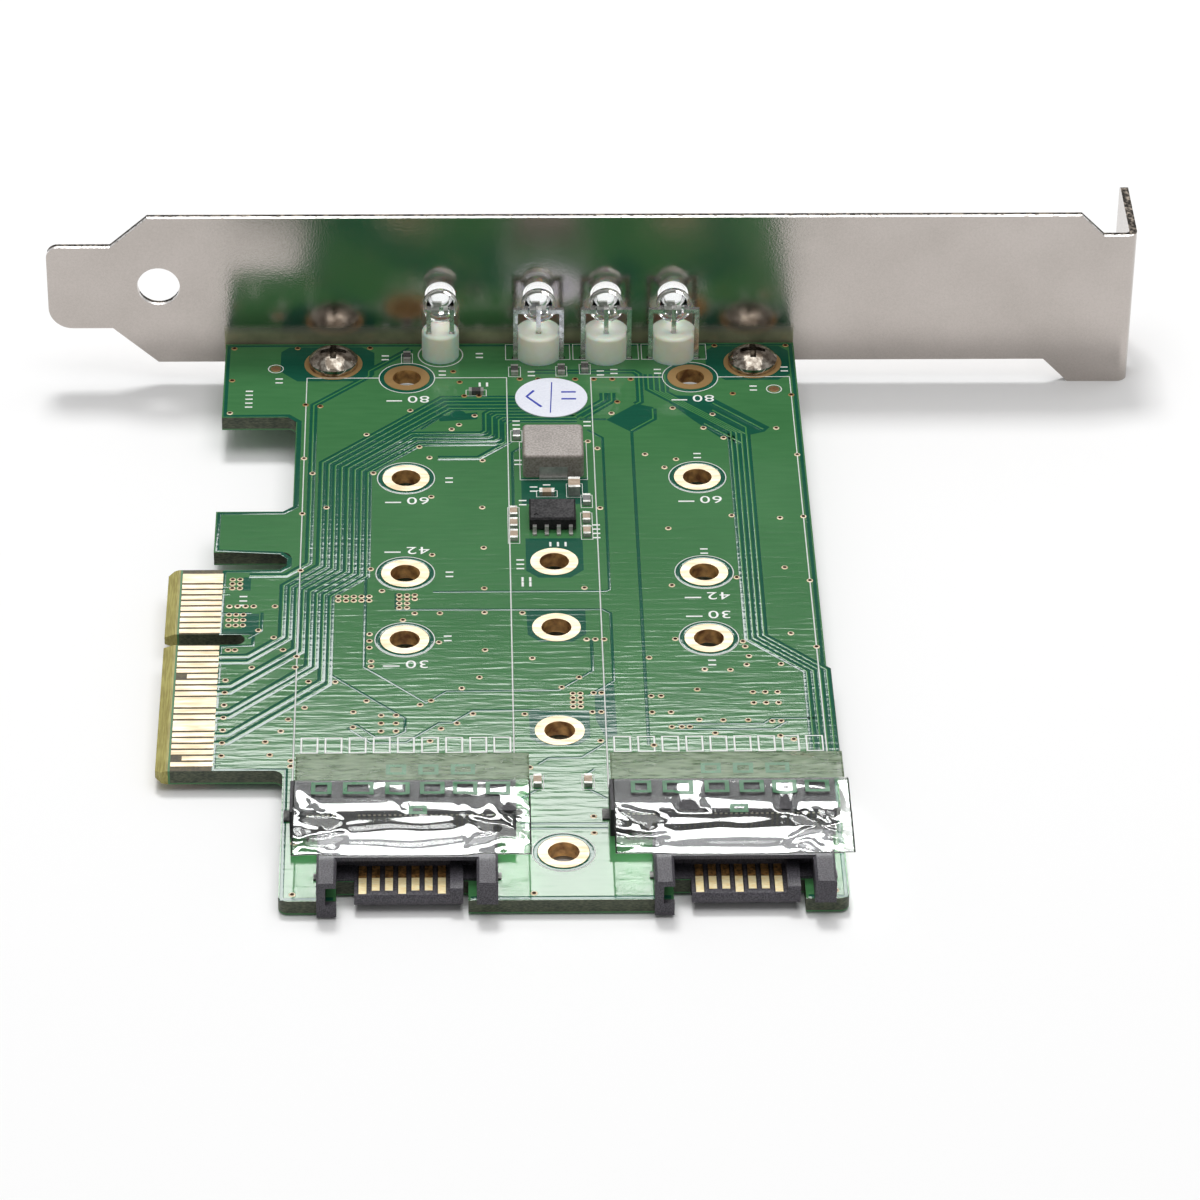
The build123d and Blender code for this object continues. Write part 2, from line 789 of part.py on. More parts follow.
def plug_pieces():
    """Housing, contacts and board locks of a cable plug centred on x = 0."""
    blade_right = blade_half_width + blade_key_width
    with BuildPart() as housing:
        # Back wall and roof
        with BuildSketch():
            with Locations(
                (
                    (plug_wall_right - plug_wall_left) / 2,
                    (plug_back + plug_inner_wall) / 2,
                )
            ):
                Rectangle(plug_wall_left + plug_wall_right, plug_back_wall)
        extrude(amount=plug_height)
        roof_length = plug_inner_wall - plug_roof_front
        with Locations(
            (
                (plug_wall_right - plug_wall_left) / 2,
                plug_inner_wall - roof_length / 2,
                plug_height,
            )
        ):
            Box(
                plug_wall_left + plug_wall_right,
                roof_length,
                plug_roof,
                align=top_aligned,
            )
        # Side walls
        wall_length = plug_inner_wall - plug_front
        wall_y = (plug_inner_wall + plug_front) / 2
        for wall_x, thickness in (
            (-plug_wall_left + plug_left_thickness / 2, plug_left_thickness),
            (plug_wall_right - plug_right_thickness / 2, plug_right_thickness),
        ):
            with Locations((wall_x, wall_y, 0)):
                Box(thickness, wall_length, plug_height, align=bottom_aligned)
        roof_edges = housing.edges().filter_by(Axis.Y).group_by(Axis.Z)[-1]
        chamfer(roof_edges, plug_edge)
        # Floor on the board, from each side wall to the blade
        floor_front = board_front + plug_cut_depth + plug_floor_gap
        for floor_left, floor_right in (
            (-plug_wall_left + plug_left_thickness, -blade_half_width),
            (blade_right, plug_wall_right - plug_right_thickness),
        ):
            with Locations(
                (
                    (floor_left + floor_right) / 2,
                    (plug_inner_wall + floor_front) / 2,
                    0,
                )
            ):
                Box(
                    floor_right - floor_left,
                    plug_inner_wall - floor_front,
                    plug_floor,
                    align=bottom_aligned,
                )
        # Lip of the left wall, over the edge of the board
        lip_length = board_front - film_clearance - plug_front
        with Locations(
            (
                -plug_wall_left + plug_left_thickness / 2,
                plug_front + lip_length / 2,
                0,
            )
        ):
            Box(
                plug_left_thickness,
                lip_length,
                plug_lip_depth,
                align=top_aligned,
            )
        # Latch recess on the inner side of the left wall
        recess_x = -plug_wall_left + plug_left_thickness - plug_latch_width / 2
        with Locations((recess_x, plug_front + plug_latch_depth / 2, 0)):
            Box(
                plug_latch_width,
                plug_latch_depth,
                plug_latch_height,
                align=bottom_aligned,
                mode=Mode.SUBTRACT,
            )
        # Blade that carries the contacts, its root and its key
        root_back = plug_inner_wall + blade_root
        with Locations(
            (
                (blade_right - blade_half_width) / 2,
                (root_back + plug_inner_wall) / 2,
                blade_bottom,
            )
        ):
            Box(
                blade_half_width + blade_right,
                blade_root,
                -blade_bottom,
                align=bottom_aligned,
            )
        blade_length = plug_inner_wall - blade_front
        with Locations(
            (
                (blade_right - blade_half_width) / 2,
                plug_inner_wall - blade_length / 2,
                blade_bottom,
            )
        ):
            Box(
                blade_half_width + blade_right,
                blade_length,
                blade_thickness,
                align=bottom_aligned,
            )
        key_x = blade_half_width + blade_key_width / 2
        with Locations(
            (key_x, plug_inner_wall - blade_length / 2, blade_top)
        ):
            Box(
                blade_key_width,
                blade_length,
                blade_key_height,
                align=bottom_aligned,
            )
        tip_edges = (
            housing.edges()
            .filter_by(Axis.X)
            .filter_by(lambda e: abs(e.center().Y - blade_front) < touching)
        )
        chamfer(tip_edges, blade_tip_edge)
        # Channels for the contacts, and slits where they pass the back wall
        for x, tip_y in plug_contact_places():
            channel_length = plug_inner_wall - tip_y
            with Locations((x, plug_inner_wall - channel_length / 2, 0)):
                Box(
                    plug_channel,
                    channel_length,
                    plug_contact_thickness,
                    align=bottom_aligned,
                    mode=Mode.SUBTRACT,
                )
            with Locations((x, (plug_back + plug_inner_wall) / 2, 0)):
                Box(
                    plug_contact_width,
                    plug_back_wall,
                    plug_contact_thickness,
                    align=bottom_aligned,
                    mode=Mode.SUBTRACT,
                )
        # Pockets for the board locks
        for lock_x in (-plug_wall_left, plug_wall_right):
            with Locations((lock_x, plug_lock_y, 0)):
                Box(
                    2 * hold_down_thickness,
                    plug_lock_width,
                    hold_down_height,
                    align=bottom_aligned,
                    mode=Mode.SUBTRACT,
                )
    with BuildPart() as contacts:
        for x, tip_y in plug_contact_places():
            tail_end = plug_back + plug_tail
            with Locations((x, (tip_y + tail_end) / 2, 0)):
                Box(
                    plug_contact_width,
                    tail_end - tip_y,
                    plug_contact_thickness,
                    align=bottom_aligned,
                )
    with BuildPart() as locks:
        for lock_x, outward in ((-plug_wall_left, -1), (plug_wall_right, 1)):
            foot_x = lock_x + outward * plug_lock_foot / 2
            with Locations((foot_x, plug_lock_y, 0)):
                Box(
                    plug_lock_foot,
                    plug_lock_width,
                    hold_down_thickness,
                    align=bottom_aligned,
                )
            upright_x = lock_x - outward * hold_down_thickness / 2
            with Locations((upright_x, plug_lock_y, 0)):
                Box(
                    hold_down_thickness,
                    plug_lock_width,
                    hold_down_height,
                    align=bottom_aligned,
                )
    return (
        ("housing", housing.part),
        ("contacts", contacts.part),
        ("board_locks", locks.part),
    )


for side, plug_x in (("left", plug_left_x), ("right", plug_right_x)):
    for piece, shape in plug_pieces():
        with BuildPart() as placed:
            with Locations((plug_x, 0, 0)):
                add(shape)
        placed.part.label = f"{side}_cable_plug_{piece}"
        export_step(placed.part, f"parts/{side}_cable_plug_{piece}.step")


def lamp_lens(lamp_x):
    """Clear lamp that lies on its side, with its dome through the bracket."""
    radius = lamp_diameter / 2
    barrel = lamp_length - lamp_flange_thickness - radius
    with BuildPart() as lens:
        with BuildSketch(Plane.XY.offset(lamp_axis)):
            with BuildLine():
                front = lamp_back + lamp_flange_thickness
                dome = front + barrel
                Line((lamp_x, lamp_back), (lamp_x + lamp_flange / 2, lamp_back))
                Line(
                    (lamp_x + lamp_flange / 2, lamp_back),
                    (lamp_x + lamp_flange / 2, front),
                )
                Line((lamp_x + lamp_flange / 2, front), (lamp_x + radius, front))
                Line((lamp_x + radius, front), (lamp_x + radius, dome))
                CenterArc((lamp_x, dome), radius, 0, 90)
                Line((lamp_x, dome + radius), (lamp_x, lamp_back))
            make_face()
        revolve(axis=Axis((lamp_x, 0, lamp_axis), (0, 1, 0)))
    return lens.part


def lamp_leads(lamp_x, offsets):
    """Square leads: out of the lamp, across if needed, and down."""
    half = lead_width / 2
    low = -board_thickness - solder_stub
    with BuildPart() as leads:
        for start, end in offsets:
            drop_top = lamp_axis + half
            with Locations((lamp_x + end, lead_drop_y, low)):
                Box(lead_width, lead_width, drop_top - low, align=bottom_aligned)
            reach = lamp_back - lead_drop_y + half
            with Locations(
                (lamp_x + start, lead_drop_y - half + reach / 2, lamp_axis)
            ):
                Box(lead_width, reach, lead_width)
            if start != end:
                with Locations(
                    (lamp_x + (start + end) / 2, lead_drop_y, lamp_axis)
                ):
                    Box(abs(end - start) + lead_width, lead_width, lead_width)
    return leads.part


def lamp_spacer(lamp_x, diameter, drops, grooves):
    """Nylon post under a lamp, with holes or side grooves for its leads."""
    with BuildPart() as spacer:
        with Locations((lamp_x, lamp_y, 0)):
            Cylinder(diameter / 2, spacer_height, align=bottom_aligned)
        fillet(spacer.edges().sort_by(Axis.Z)[-1], spacer_edge)
        passage = lead_width + 2 * lead_clearance
        for offset in drops + grooves:
            with Locations((lamp_x + offset, lead_drop_y, 0)):
                Box(
                    passage,
                    passage,
                    spacer_height,
                    align=bottom_aligned,
                    mode=Mode.SUBTRACT,
                )
    return spacer.part


# Lamp name, position, spacer, lead offsets at the lamp and at the board
half_pitch = lead_pitch / 2
inner_pitch = lamp_flange / 2 - lead_width
lamps = [
    (
        "lamp_1",
        single_lamp_x,
        single_spacer,
        ((-half_pitch, -half_pitch), (half_pitch, half_pitch)),
        [-half_pitch, half_pitch],
        [],
    )
]
for number, lamp_x in enumerate(double_lamps, start=2):
    lamps.append(
        (
            f"lamp_{number}",
            lamp_x,
            double_spacer,
            ((-inner_pitch, -lead_pitch), (0, 0), (inner_pitch, lead_pitch)),
            [0],
            [-lead_pitch, lead_pitch],
        )
    )
for name, lamp_x, diameter, offsets, drops, grooves in lamps:
    for piece, shape in (
        ("lens", lamp_lens(lamp_x)),
        ("leads", lamp_leads(lamp_x, offsets)),
        ("spacer", lamp_spacer(lamp_x, diameter, drops, grooves)),
    ):
        shape.label = f"{name}_{piece}"
        export_step(shape, f"parts/{name}_{piece}.step")

# Power coil: moulded block with a terminal folded under each end
with BuildPart() as coil:
    with Locations((coil_x, coil_y, 0)):
        Box(coil_length, coil_width, coil_height, align=bottom_aligned)
    fillet(coil.edges().filter_by(Axis.Z), coil_corner)
    fillet(coil.faces().sort_by(Axis.Z)[-1].edges(), coil_top_round)
    for end in (-1, 1):
        with Locations((coil_x, coil_y + end * coil_width / 2, 0)):
            Box(
                coil_terminal_width,
                2 * coil_terminal_thickness,
                coil_terminal_reach,
                align=bottom_aligned,
                mode=Mode.SUBTRACT,
            )
coil.part.label = "power_coil"
export_step(coil.part, "parts/power_coil.step")

with BuildPart() as coil_terminals:
    for end in (-1, 1):
        terminal_y = coil_width / 2 - coil_terminal_thickness / 2
        with Locations((coil_x, coil_y + end * terminal_y, 0)):
            Box(
                coil_terminal_width,
                coil_terminal_thickness,
                coil_terminal_reach,
                align=bottom_aligned,
            )
        foot_y = coil_width / 2 + hold_down_foot / 4
        with Locations((coil_x, coil_y + end * foot_y, 0)):
            Box(
                coil_terminal_width,
                hold_down_foot / 2,
                coil_terminal_thickness,
                align=bottom_aligned,
            )
coil_terminals.part.label = "power_coil_terminals"
export_step(coil_terminals.part, "parts/power_coil_terminals.step")

# Eight-lead regulator
with BuildPart() as regulator:
    with Locations((regulator_x, regulator_y, regulator_standoff)):
        Box(
            regulator_length,
            regulator_width,
            regulator_height - regulator_standoff,
            align=bottom_aligned,
        )
    top_edges = regulator.faces().sort_by(Axis.Z)[-1].edges()
    chamfer(top_edges, regulator_chamfer)
    dot_x = regulator_x - regulator_length / 2 + regulator_dot_inset
    dot_y = regulator_y - regulator_width / 2 + regulator_dot_inset
    with Locations((dot_x, dot_y, regulator_height)):
        Cylinder(
            regulator_dot / 2,
            regulator_dot_depth,
            align=top_aligned,
            mode=Mode.SUBTRACT,
        )
regulator.part.label = "regulator_body"
export_step(regulator.part, "parts/regulator_body.step")

with BuildPart() as regulator_leads:
    for n in range(4):
        lead_x = regulator_x + (n - 1.5) * regulator_lead_pitch
        with BuildSketch(Plane.YZ.offset(lead_x - regulator_lead_width / 2)):
            for end in (-1, 1):
                root = regulator_y + end * regulator_width / 2
                tip = regulator_y + end * regulator_span / 2
                heel = tip - end * regulator_foot
                top = regulator_lead_height
                thick = regulator_lead_thickness
                with BuildLine():
                    Polyline(
                        (root, top),
                        (root, top - thick),
                        (heel - end * thick, top - thick),
                        (heel - end * thick, 0),
                        (tip, 0),
                        (tip, thick),
                        (heel, thick),
                        (heel, top),
                        close=True,
                    )
                make_face()
        extrude(amount=regulator_lead_width)
regulator_leads.part.label = "regulator_leads"
export_step(regulator_leads.part, "parts/regulator_leads.step")


def two_ended_chip(place, size, end_length, along_x):
    """Ceramic body and the two metal caps at its ends."""
    length, width, height = size
    turn = 0 if along_x else 90
    with BuildPart() as body:
        with Locations(Location(place, (0, 0, turn))):
            Box(length - 2 * end_length, width, height, align=bottom_aligned)
    with BuildPart() as caps:
        with Locations(Location(place, (0, 0, turn))):
            for end in (-1, 1):
                with Locations((end * (length - end_length) / 2, 0, 0)):
                    Box(end_length, width, height, align=bottom_aligned)
    return body.part, caps.part


capacitor_body, capacitor_caps = two_ended_chip(
    (capacitor_x, capacitor_y, 0),
    (capacitor_length, capacitor_width, capacitor_height),
    cap_terminal,
    False,
)
capacitor_body.label = "output_capacitor"
export_step(capacitor_body, "parts/output_capacitor.step")
capacitor_caps.label = "output_capacitor_terminals"
export_step(capacitor_caps, "parts/output_capacitor_terminals.step")

for group, places in (
    ("chip_resistor", chip_resistors),
    ("chip_capacitor", chip_capacitors),
):
    with BuildPart() as bodies:
        for x, y, along_x in places:
            body, _ = two_ended_chip(
                (x, y, 0),
                (chip_length, chip_width, chip_height),
                chip_terminal,
                along_x,
            )
            add(body)
    with BuildPart() as ends:
        for x, y, along_x in places:
            _, caps = two_ended_chip(
                (x, y, 0),
                (chip_length, chip_width, chip_height),
                chip_terminal,
                along_x,
            )
            add(caps)
    bodies.part.label = f"{group}_bodies"
    export_step(bodies.part, f"parts/{group}_bodies.step")
    ends.part.label = f"{group}_terminals"
    export_step(ends.part, f"parts/{group}_terminals.step")

# Round paper label
with BuildPart() as label:
    with Locations((label_x, label_y, 0)):
        Cylinder(label_diameter / 2, label_thickness, align=bottom_aligned)
label.part.label = "round_label"
export_step(label.part, "parts/round_label.step")

# Clear films over the sockets, from the board to the roof of the cable plug
over_socket = socket_height + film_clearance
over_plug = plug_height + film_clearance
jaw_y = front_drive_edge + socket_upper_jaw + film_clearance
low_jaw_y = front_drive_edge + socket_lower_jaw + film_clearance
rear_y = front_drive_edge - socket_rear
film_profile = [
    (front_drive_edge + film_start, 0),
    (front_drive_edge + film_lift, 0),
    (low_jaw_y, socket_slot_floor + film_clearance),
    (jaw_y, over_socket),
    (rear_y, over_socket),
    (plug_back, over_plug),
    (plug_roof_front + film_end_margin, over_plug),
]
for side, column in (("left", left_column), ("right", right_column)):
    with BuildPart() as film:
        film_left = column + film_offset - film_width / 2
        with BuildSketch(Plane.YZ.offset(film_left)):
            with BuildLine():
                upper = [(y, z + film_thickness) for y, z in film_profile]
                Polyline(*film_profile, *reversed(upper), close=True)
            make_face()
        extrude(amount=film_width)
    film.part.label = f"{side}_cover_film"
    export_step(film.part, f"parts/{side}_cover_film.step")
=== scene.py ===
# %% [markdown]
# # An expansion card for three gum-stick drives
# The frame below holds every rigid piece of the card at its real size. This
# script gives each piece its finish and adds what is printed, plated and laid
# on the board: copper tracks, via holes, white ink, solder and clear film.
# It starts with the frame, because every other piece takes its place from it.

# %% Load the frame
import json
import math

import bmesh
import bpy
from mathutils import Matrix, Vector, noise


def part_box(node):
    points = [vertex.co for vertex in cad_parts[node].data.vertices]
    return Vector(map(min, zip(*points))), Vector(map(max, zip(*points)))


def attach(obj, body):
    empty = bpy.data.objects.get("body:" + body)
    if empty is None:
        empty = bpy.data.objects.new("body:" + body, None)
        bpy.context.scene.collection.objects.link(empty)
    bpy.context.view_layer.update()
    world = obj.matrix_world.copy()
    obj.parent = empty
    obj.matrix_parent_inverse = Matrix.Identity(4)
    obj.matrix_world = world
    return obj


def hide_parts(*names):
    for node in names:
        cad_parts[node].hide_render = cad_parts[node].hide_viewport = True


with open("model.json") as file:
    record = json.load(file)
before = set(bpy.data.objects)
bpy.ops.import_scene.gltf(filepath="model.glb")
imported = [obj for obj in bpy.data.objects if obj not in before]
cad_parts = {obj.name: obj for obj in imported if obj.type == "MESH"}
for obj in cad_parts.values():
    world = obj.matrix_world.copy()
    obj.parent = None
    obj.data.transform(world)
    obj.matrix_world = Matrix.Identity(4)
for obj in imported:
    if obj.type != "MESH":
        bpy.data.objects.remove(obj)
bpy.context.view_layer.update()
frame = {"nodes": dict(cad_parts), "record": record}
MM = 0.001
MICRON = 0.000001
BODY = "root"

# %% [markdown]
# ## Camera
# The photograph was taken from the edge with the cable plugs, with a long lens,
# looking down by about 35 degrees. The camera's place and lens were solved from
# the spacing of the drive holes and the gold fingers, so they are written as
# measured values. A long lens keeps the card's far side nearly as wide as the
# near one.

# %% Camera at the photograph's place
CAMERA_PLACE = Vector((4.909, -453.465, 318.776)) * MM
CAMERA_TILT = math.radians(34.681)
CAMERA_PAN = math.radians(1.897)
CAMERA_ROLL = math.radians(0.812)
SENSOR = 36.0
LENS = 162.44


def show(name, data):
    """A new object in the scene."""
    made = bpy.data.objects.new(name, data)
    bpy.context.scene.collection.objects.link(made)
    return made


def place_camera():
    """A camera turned by pan, then tilted down, then rolled."""
    data = bpy.data.cameras.new("camera")
    data.sensor_fit = "HORIZONTAL"
    data.sensor_width = SENSOR
    data.lens = LENS
    data.clip_start = 0.01
    level = math.cos(CAMERA_TILT)
    ahead = Vector((math.sin(CAMERA_PAN) * level, math.cos(CAMERA_PAN) * level, -math.sin(CAMERA_TILT)))
    right = ahead.cross(Vector((0, 0, 1))).normalized()
    up = right.cross(ahead)
    turned = right * math.cos(CAMERA_ROLL) + up * math.sin(CAMERA_ROLL)
    raised = up * math.cos(CAMERA_ROLL) - right * math.sin(CAMERA_ROLL)
    axes = Matrix((turned, raised, -ahead)).transposed()
    camera = show("camera", data)
    camera.matrix_world = Matrix.Translation(CAMERA_PLACE) @ axes.to_4x4()
    bpy.context.scene.camera = camera
    return camera


print("camera:", place_camera().location)

# %% [markdown]
# ## Shader helpers
# Node trees are easier to read when a node, its settings and its links stand in
# one call. `put` adds one node. Its dictionary holds sockets: a value is set, and
# another node's output is linked. The helpers after it each give the result of
# one common node.

# %% Node helpers
FLOAT = "NodeSocketFloat"
COLOUR = "NodeSocketColor"
VECTOR = "NodeSocketVector"


def rgba(*colour):
    """A colour with full cover."""
    return (*colour, 1.0)


def put(tree, kind, sockets=None, **settings):
    """One new node with its settings made and its sockets filled or linked."""
    made = tree.nodes.new(kind)
    for name, value in settings.items():
        setattr(made, name, value)
    for name, value in (sockets or {}).items():
        if isinstance(value, bpy.types.NodeSocket):
            tree.links.new(value, made.inputs[name])
        else:
            made.inputs[name].default_value = value
    return made


def calc(tree, operation, *values):
    """The result of one Math node."""
    return put(tree, "ShaderNodeMath", dict(enumerate(values)), operation=operation).outputs[0]


def past(tree, value, limit):
    """One where a value is past a limit, else nought."""
    return calc(tree, "GREATER_THAN", value, limit)


def below(tree, value, limit):
    """One where a value is below a limit, else nought."""
    return calc(tree, "LESS_THAN", value, limit)


def blend(tree, mask, under, over, kind="RGBA"):
    """Two colours or numbers, the second where the mask is one."""
    mixed = put(tree, "ShaderNodeMix", {"Factor": mask, "A": under, "B": over}, data_type=kind)
    return mixed.outputs["Result"]


def ranged(tree, value, start, end, first=0.0, last=1.0):
    """A value between start and end, as a number between first and last."""
    moved = put(tree, "ShaderNodeMapRange", {
        "Value": value, "From Min": start, "From Max": end, "To Min": first, "To Max": last})
    return moved.outputs["Result"]


def noisy(tree, place, scale, detail):
    """Noise from nought to one."""
    return put(tree, "ShaderNodeTexNoise", {"Vector": place, "Scale": scale, "Detail": detail}).outputs["Fac"]


def bumped(tree, height, depth):
    """A normal tilted by a height."""
    return put(tree, "ShaderNodeBump", {"Height": height, "Distance": depth}).outputs["Normal"]


def object_place(tree):
    """Where a point of the surface is, in metres."""
    return put(tree, "ShaderNodeTexCoord").outputs["Object"]


def split(tree, vector):
    """A vector's X, Y and Z."""
    return put(tree, "ShaderNodeSeparateXYZ", {0: vector}).outputs


def flatness(tree):
    """One where the surface lies level, nought where it stands upright."""
    return calc(tree, "ABSOLUTE", split(tree, put(tree, "ShaderNodeNewGeometry").outputs["True Normal"])["Z"])


def feed(tree, node, results):
    """Links each result to the node's input of that name."""
    for label, result in results.items():
        tree.links.new(result, node.inputs[label])


def new_group(name, kind, inputs, outputs):
    """An empty node group with named inputs (type, value) and outputs (type)."""
    tree = bpy.data.node_groups.new(name, kind)
    for label, (socket_type, value) in inputs.items():
        socket = tree.interface.new_socket(label, in_out="INPUT", socket_type=socket_type)
        if value is not None:
            socket.default_value = value
    for label, socket_type in outputs.items():
        tree.interface.new_socket(label, in_out="OUTPUT", socket_type=socket_type)
    return tree, put(tree, "NodeGroupInput").outputs, put(tree, "NodeGroupOutput")


# %% [markdown]
# ## Effects that several finishes share
# Moulded plastic, plated steel and ceramic all differ by the same few things:
# two close tones that drift into each other, a fine grain that stands in the
# surface, and a gloss that isn't even. One group makes all three from Object
# coordinates, so the grain keeps its real size on every piece.

# %% Grain group
EVEN = (1.0, 1.0, 1.0)


def grain_group():
    """Colour, roughness and normal of a surface with drifting tone and fine grain."""
    tree, given, out = new_group("Drifting tone and grain", "ShaderNodeTree", {
        "Light": (COLOUR, rgba(0.5, 0.5, 0.5)),
        "Dark": (COLOUR, rgba(0.4, 0.4, 0.4)),
        "Drift Scale": (FLOAT, 200.0),
        "Grain Scale": (FLOAT, 3000.0),
        "Grain Share": (FLOAT, 0.3),
        "Grain Depth": (FLOAT, 10 * MICRON),
        "Stretch": (VECTOR, EVEN),
        "Smooth": (FLOAT, 0.3),
        "Rough": (FLOAT, 0.5),
    }, {"Color": COLOUR, "Roughness": FLOAT, "Normal": VECTOR})
    place = object_place(tree)
    stretched = put(tree, "ShaderNodeVectorMath", {0: place, 1: given["Stretch"]}, operation="MULTIPLY")
    drift = noisy(tree, place, given["Drift Scale"], 3.0)
    grain = noisy(tree, stretched.outputs[0], given["Grain Scale"], 2.0)
    tone = blend(tree, given["Grain Share"], drift, ranged(tree, grain, 0.3, 0.7), "FLOAT")
    spread = ranged(tree, tone, 0.3, 0.7)
    feed(tree, out, {
        "Color": blend(tree, spread, given["Dark"], given["Light"]),
        "Roughness": ranged(tree, spread, 0.0, 1.0, given["Rough"], given["Smooth"]),
        "Normal": bumped(tree, grain, given["Grain Depth"]),
    })
    return tree


GRAIN = grain_group()
print("group:", GRAIN.name)


def blank_material(name):
    """A new material, its tree and its Principled shader."""
    made = bpy.data.materials.new(name)
    made.use_nodes = True
    return made, made.node_tree, made.node_tree.nodes["Principled BSDF"]


def grain_node(tree, light, dark, drift, grain, depth, smooth, rough, share=0.3, stretch=EVEN):
    """The grain group with values of its own. The depth is in micrometres."""
    return put(tree, "ShaderNodeGroup", {
        "Light": rgba(*light), "Dark": rgba(*dark), "Drift Scale": drift, "Grain Scale": grain,
        "Grain Share": share, "Grain Depth": depth * MICRON, "Stretch": stretch,
        "Smooth": smooth, "Rough": rough,
    }, node_tree=GRAIN).outputs


def grained(name, *grain, share=0.3, stretch=EVEN, **shader):
    """A material of the grain group's colour, roughness and normal."""
    made, tree, surface = blank_material(name)
    given = grain_node(tree, *grain, share, stretch)
    feed(tree, surface, {
        "Base Color": given["Color"], "Roughness": given["Roughness"], "Normal": given["Normal"]})
    for label, value in shader.items():
        surface.inputs[label.replace("_", " ")].default_value = value
    return made


# %% [markdown]
# ## The board's green mask
# A circuit board is woven glass in resin under a thin coat of green lacquer. The
# weave shows through the lacquer as faint cross ridges, which break the light of
# a soft box into short streaks. The cut edges show the bare laminate instead,
# and so does the bevelled tip of the edge connector, so the colour is chosen by
# the direction and the place of the surface.

# %% Weave group
ROW_PITCH = 0.94 * MM
ROW_SWAY = 5.0
FINE_SCALE = 2600.0
CLOUD_SCALE = 60.0
RIDGE_SHOW = 0.4
MASK_ROUGHNESS = 0.08
WEAVE_DEPTH = 12.0
TRACK_DEPTH = 6.0


def weave_group():
    """Height of the woven glass that shows through the mask."""
    tree, given, out = new_group("Glass weave", "ShaderNodeTree", {
        "Ridge Scale": (FLOAT, 1700.0),
        "Ridge Length": (FLOAT, 0.15),
        "Ripple": (FLOAT, 0.12),
        "Rows": (FLOAT, 0.09),
    }, {"Height": FLOAT, "Cloud": FLOAT})
    place = object_place(tree)
    across = put(tree, "ShaderNodeCombineXYZ", {"X": given["Ridge Length"], "Y": 1.0, "Z": 1.0})
    drawn = put(tree, "ShaderNodeVectorMath", {0: place, 1: across.outputs[0]}, operation="MULTIPLY")
    ridges = noisy(tree, drawn.outputs[0], given["Ridge Scale"], 1.5)
    phase = calc(tree, "MULTIPLY", split(tree, place)["Y"], 2 * math.pi / ROW_PITCH)
    wave = calc(tree, "SINE", calc(tree, "MULTIPLY_ADD", ridges, ROW_SWAY, phase))
    woven = blend(tree, given["Rows"], ridges, ranged(tree, wave, -1.0, 1.0), "FLOAT")
    feed(tree, out, {
        "Height": blend(tree, given["Ripple"], woven, noisy(tree, place, FINE_SCALE, 1.0), "FLOAT"),
        "Cloud": blend(tree, RIDGE_SHOW, noisy(tree, place, CLOUD_SCALE, 3.0), ridges, "FLOAT"),
    })
    return tree


WEAVE = weave_group()


def mask_paint(name, light, dark, depth=WEAVE_DEPTH):
    """Green lacquer over the weave, with two close tones."""
    made, tree, surface = blank_material(name)
    weave = put(tree, "ShaderNodeGroup", node_tree=WEAVE).outputs
    green = blend(tree, ranged(tree, weave["Cloud"], 0.3, 0.7), rgba(*dark), rgba(*light))
    gloss = ranged(tree, weave["Height"], 0.0, 1.0, MASK_ROUGHNESS * 1.3, MASK_ROUGHNESS * 0.7)
    normal = bumped(tree, weave["Height"], depth * MICRON)
    feed(tree, surface, {"Base Color": green, "Roughness": gloss, "Normal": normal})
    surface.inputs["IOR"].default_value = 1.5
    return made, tree, surface, green, gloss


print("group:", WEAVE.name)

# %% Board material
MASK_TONES = (0.064, 0.204, 0.076), (0.044, 0.162, 0.056)
GAP_TONES = (0.012, 0.105, 0.062), (0.008, 0.075, 0.044)
TRACK_TONES = (0.075, 0.250, 0.075), (0.052, 0.200, 0.058)
LAMINATE_TONES = (0.42, 0.38, 0.11), (0.26, 0.22, 0.05)
CUT_TONES = (0.085, 0.100, 0.055), (0.020, 0.030, 0.015)
PAD_TONES = (0.080, 0.062, 0.014), (0.034, 0.026, 0.006)
CUT_ROUGHNESS = 0.55
UNDER_START = -1.44 * MM
FINGER_START = -18.9 * MM
TIP_START = -23.12 * MM
MASK_LINE = -23.32 * MM
TONGUE_END = 15.0 * MM
FACE_DIRECTION = 0.7


def laminate_tone(tree, tones, drift, grain, stretch=EVEN):
    """Bare laminate in two tones, from the grain group."""
    return grain_node(tree, *tones, drift, grain, 10.0, 0.3, 0.5, 0.5, stretch)["Color"]


def board_material():
    """Green on the two faces, bare laminate on the cut edges and round the gold fingers."""
    made, tree, surface, green, gloss = mask_paint("board mask", *MASK_TONES)
    place = split(tree, object_place(tree))
    cut = below(tree, flatness(tree), FACE_DIRECTION)
    on_tongue = below(tree, place["Y"], TONGUE_END)
    fingers, line, tip = [
        calc(tree, "MULTIPLY", below(tree, place["X"], limit), on_tongue)
        for limit in (FINGER_START, TIP_START, MASK_LINE)
    ]
    under = calc(tree, "MULTIPLY", below(tree, place["Z"], UNDER_START), cut)
    shown = green
    for mask, tone in (
        (fingers, laminate_tone(tree, PAD_TONES, 500.0, 2200.0)),
        (cut, laminate_tone(tree, CUT_TONES, 900.0, 2600.0, (1.0, 1.0, 3.0))),
        (under, green),
        (line, green),
        (tip, laminate_tone(tree, LAMINATE_TONES, 400.0, 2400.0, (4.0, 0.2, 1.0))),
    ):
        shown = blend(tree, mask, shown, tone)
    bare = calc(tree, "MAXIMUM", cut, fingers)
    feed(tree, surface, {"Base Color": shown, "Roughness": blend(tree, bare, gloss, CUT_ROUGHNESS, "FLOAT")})
    return made


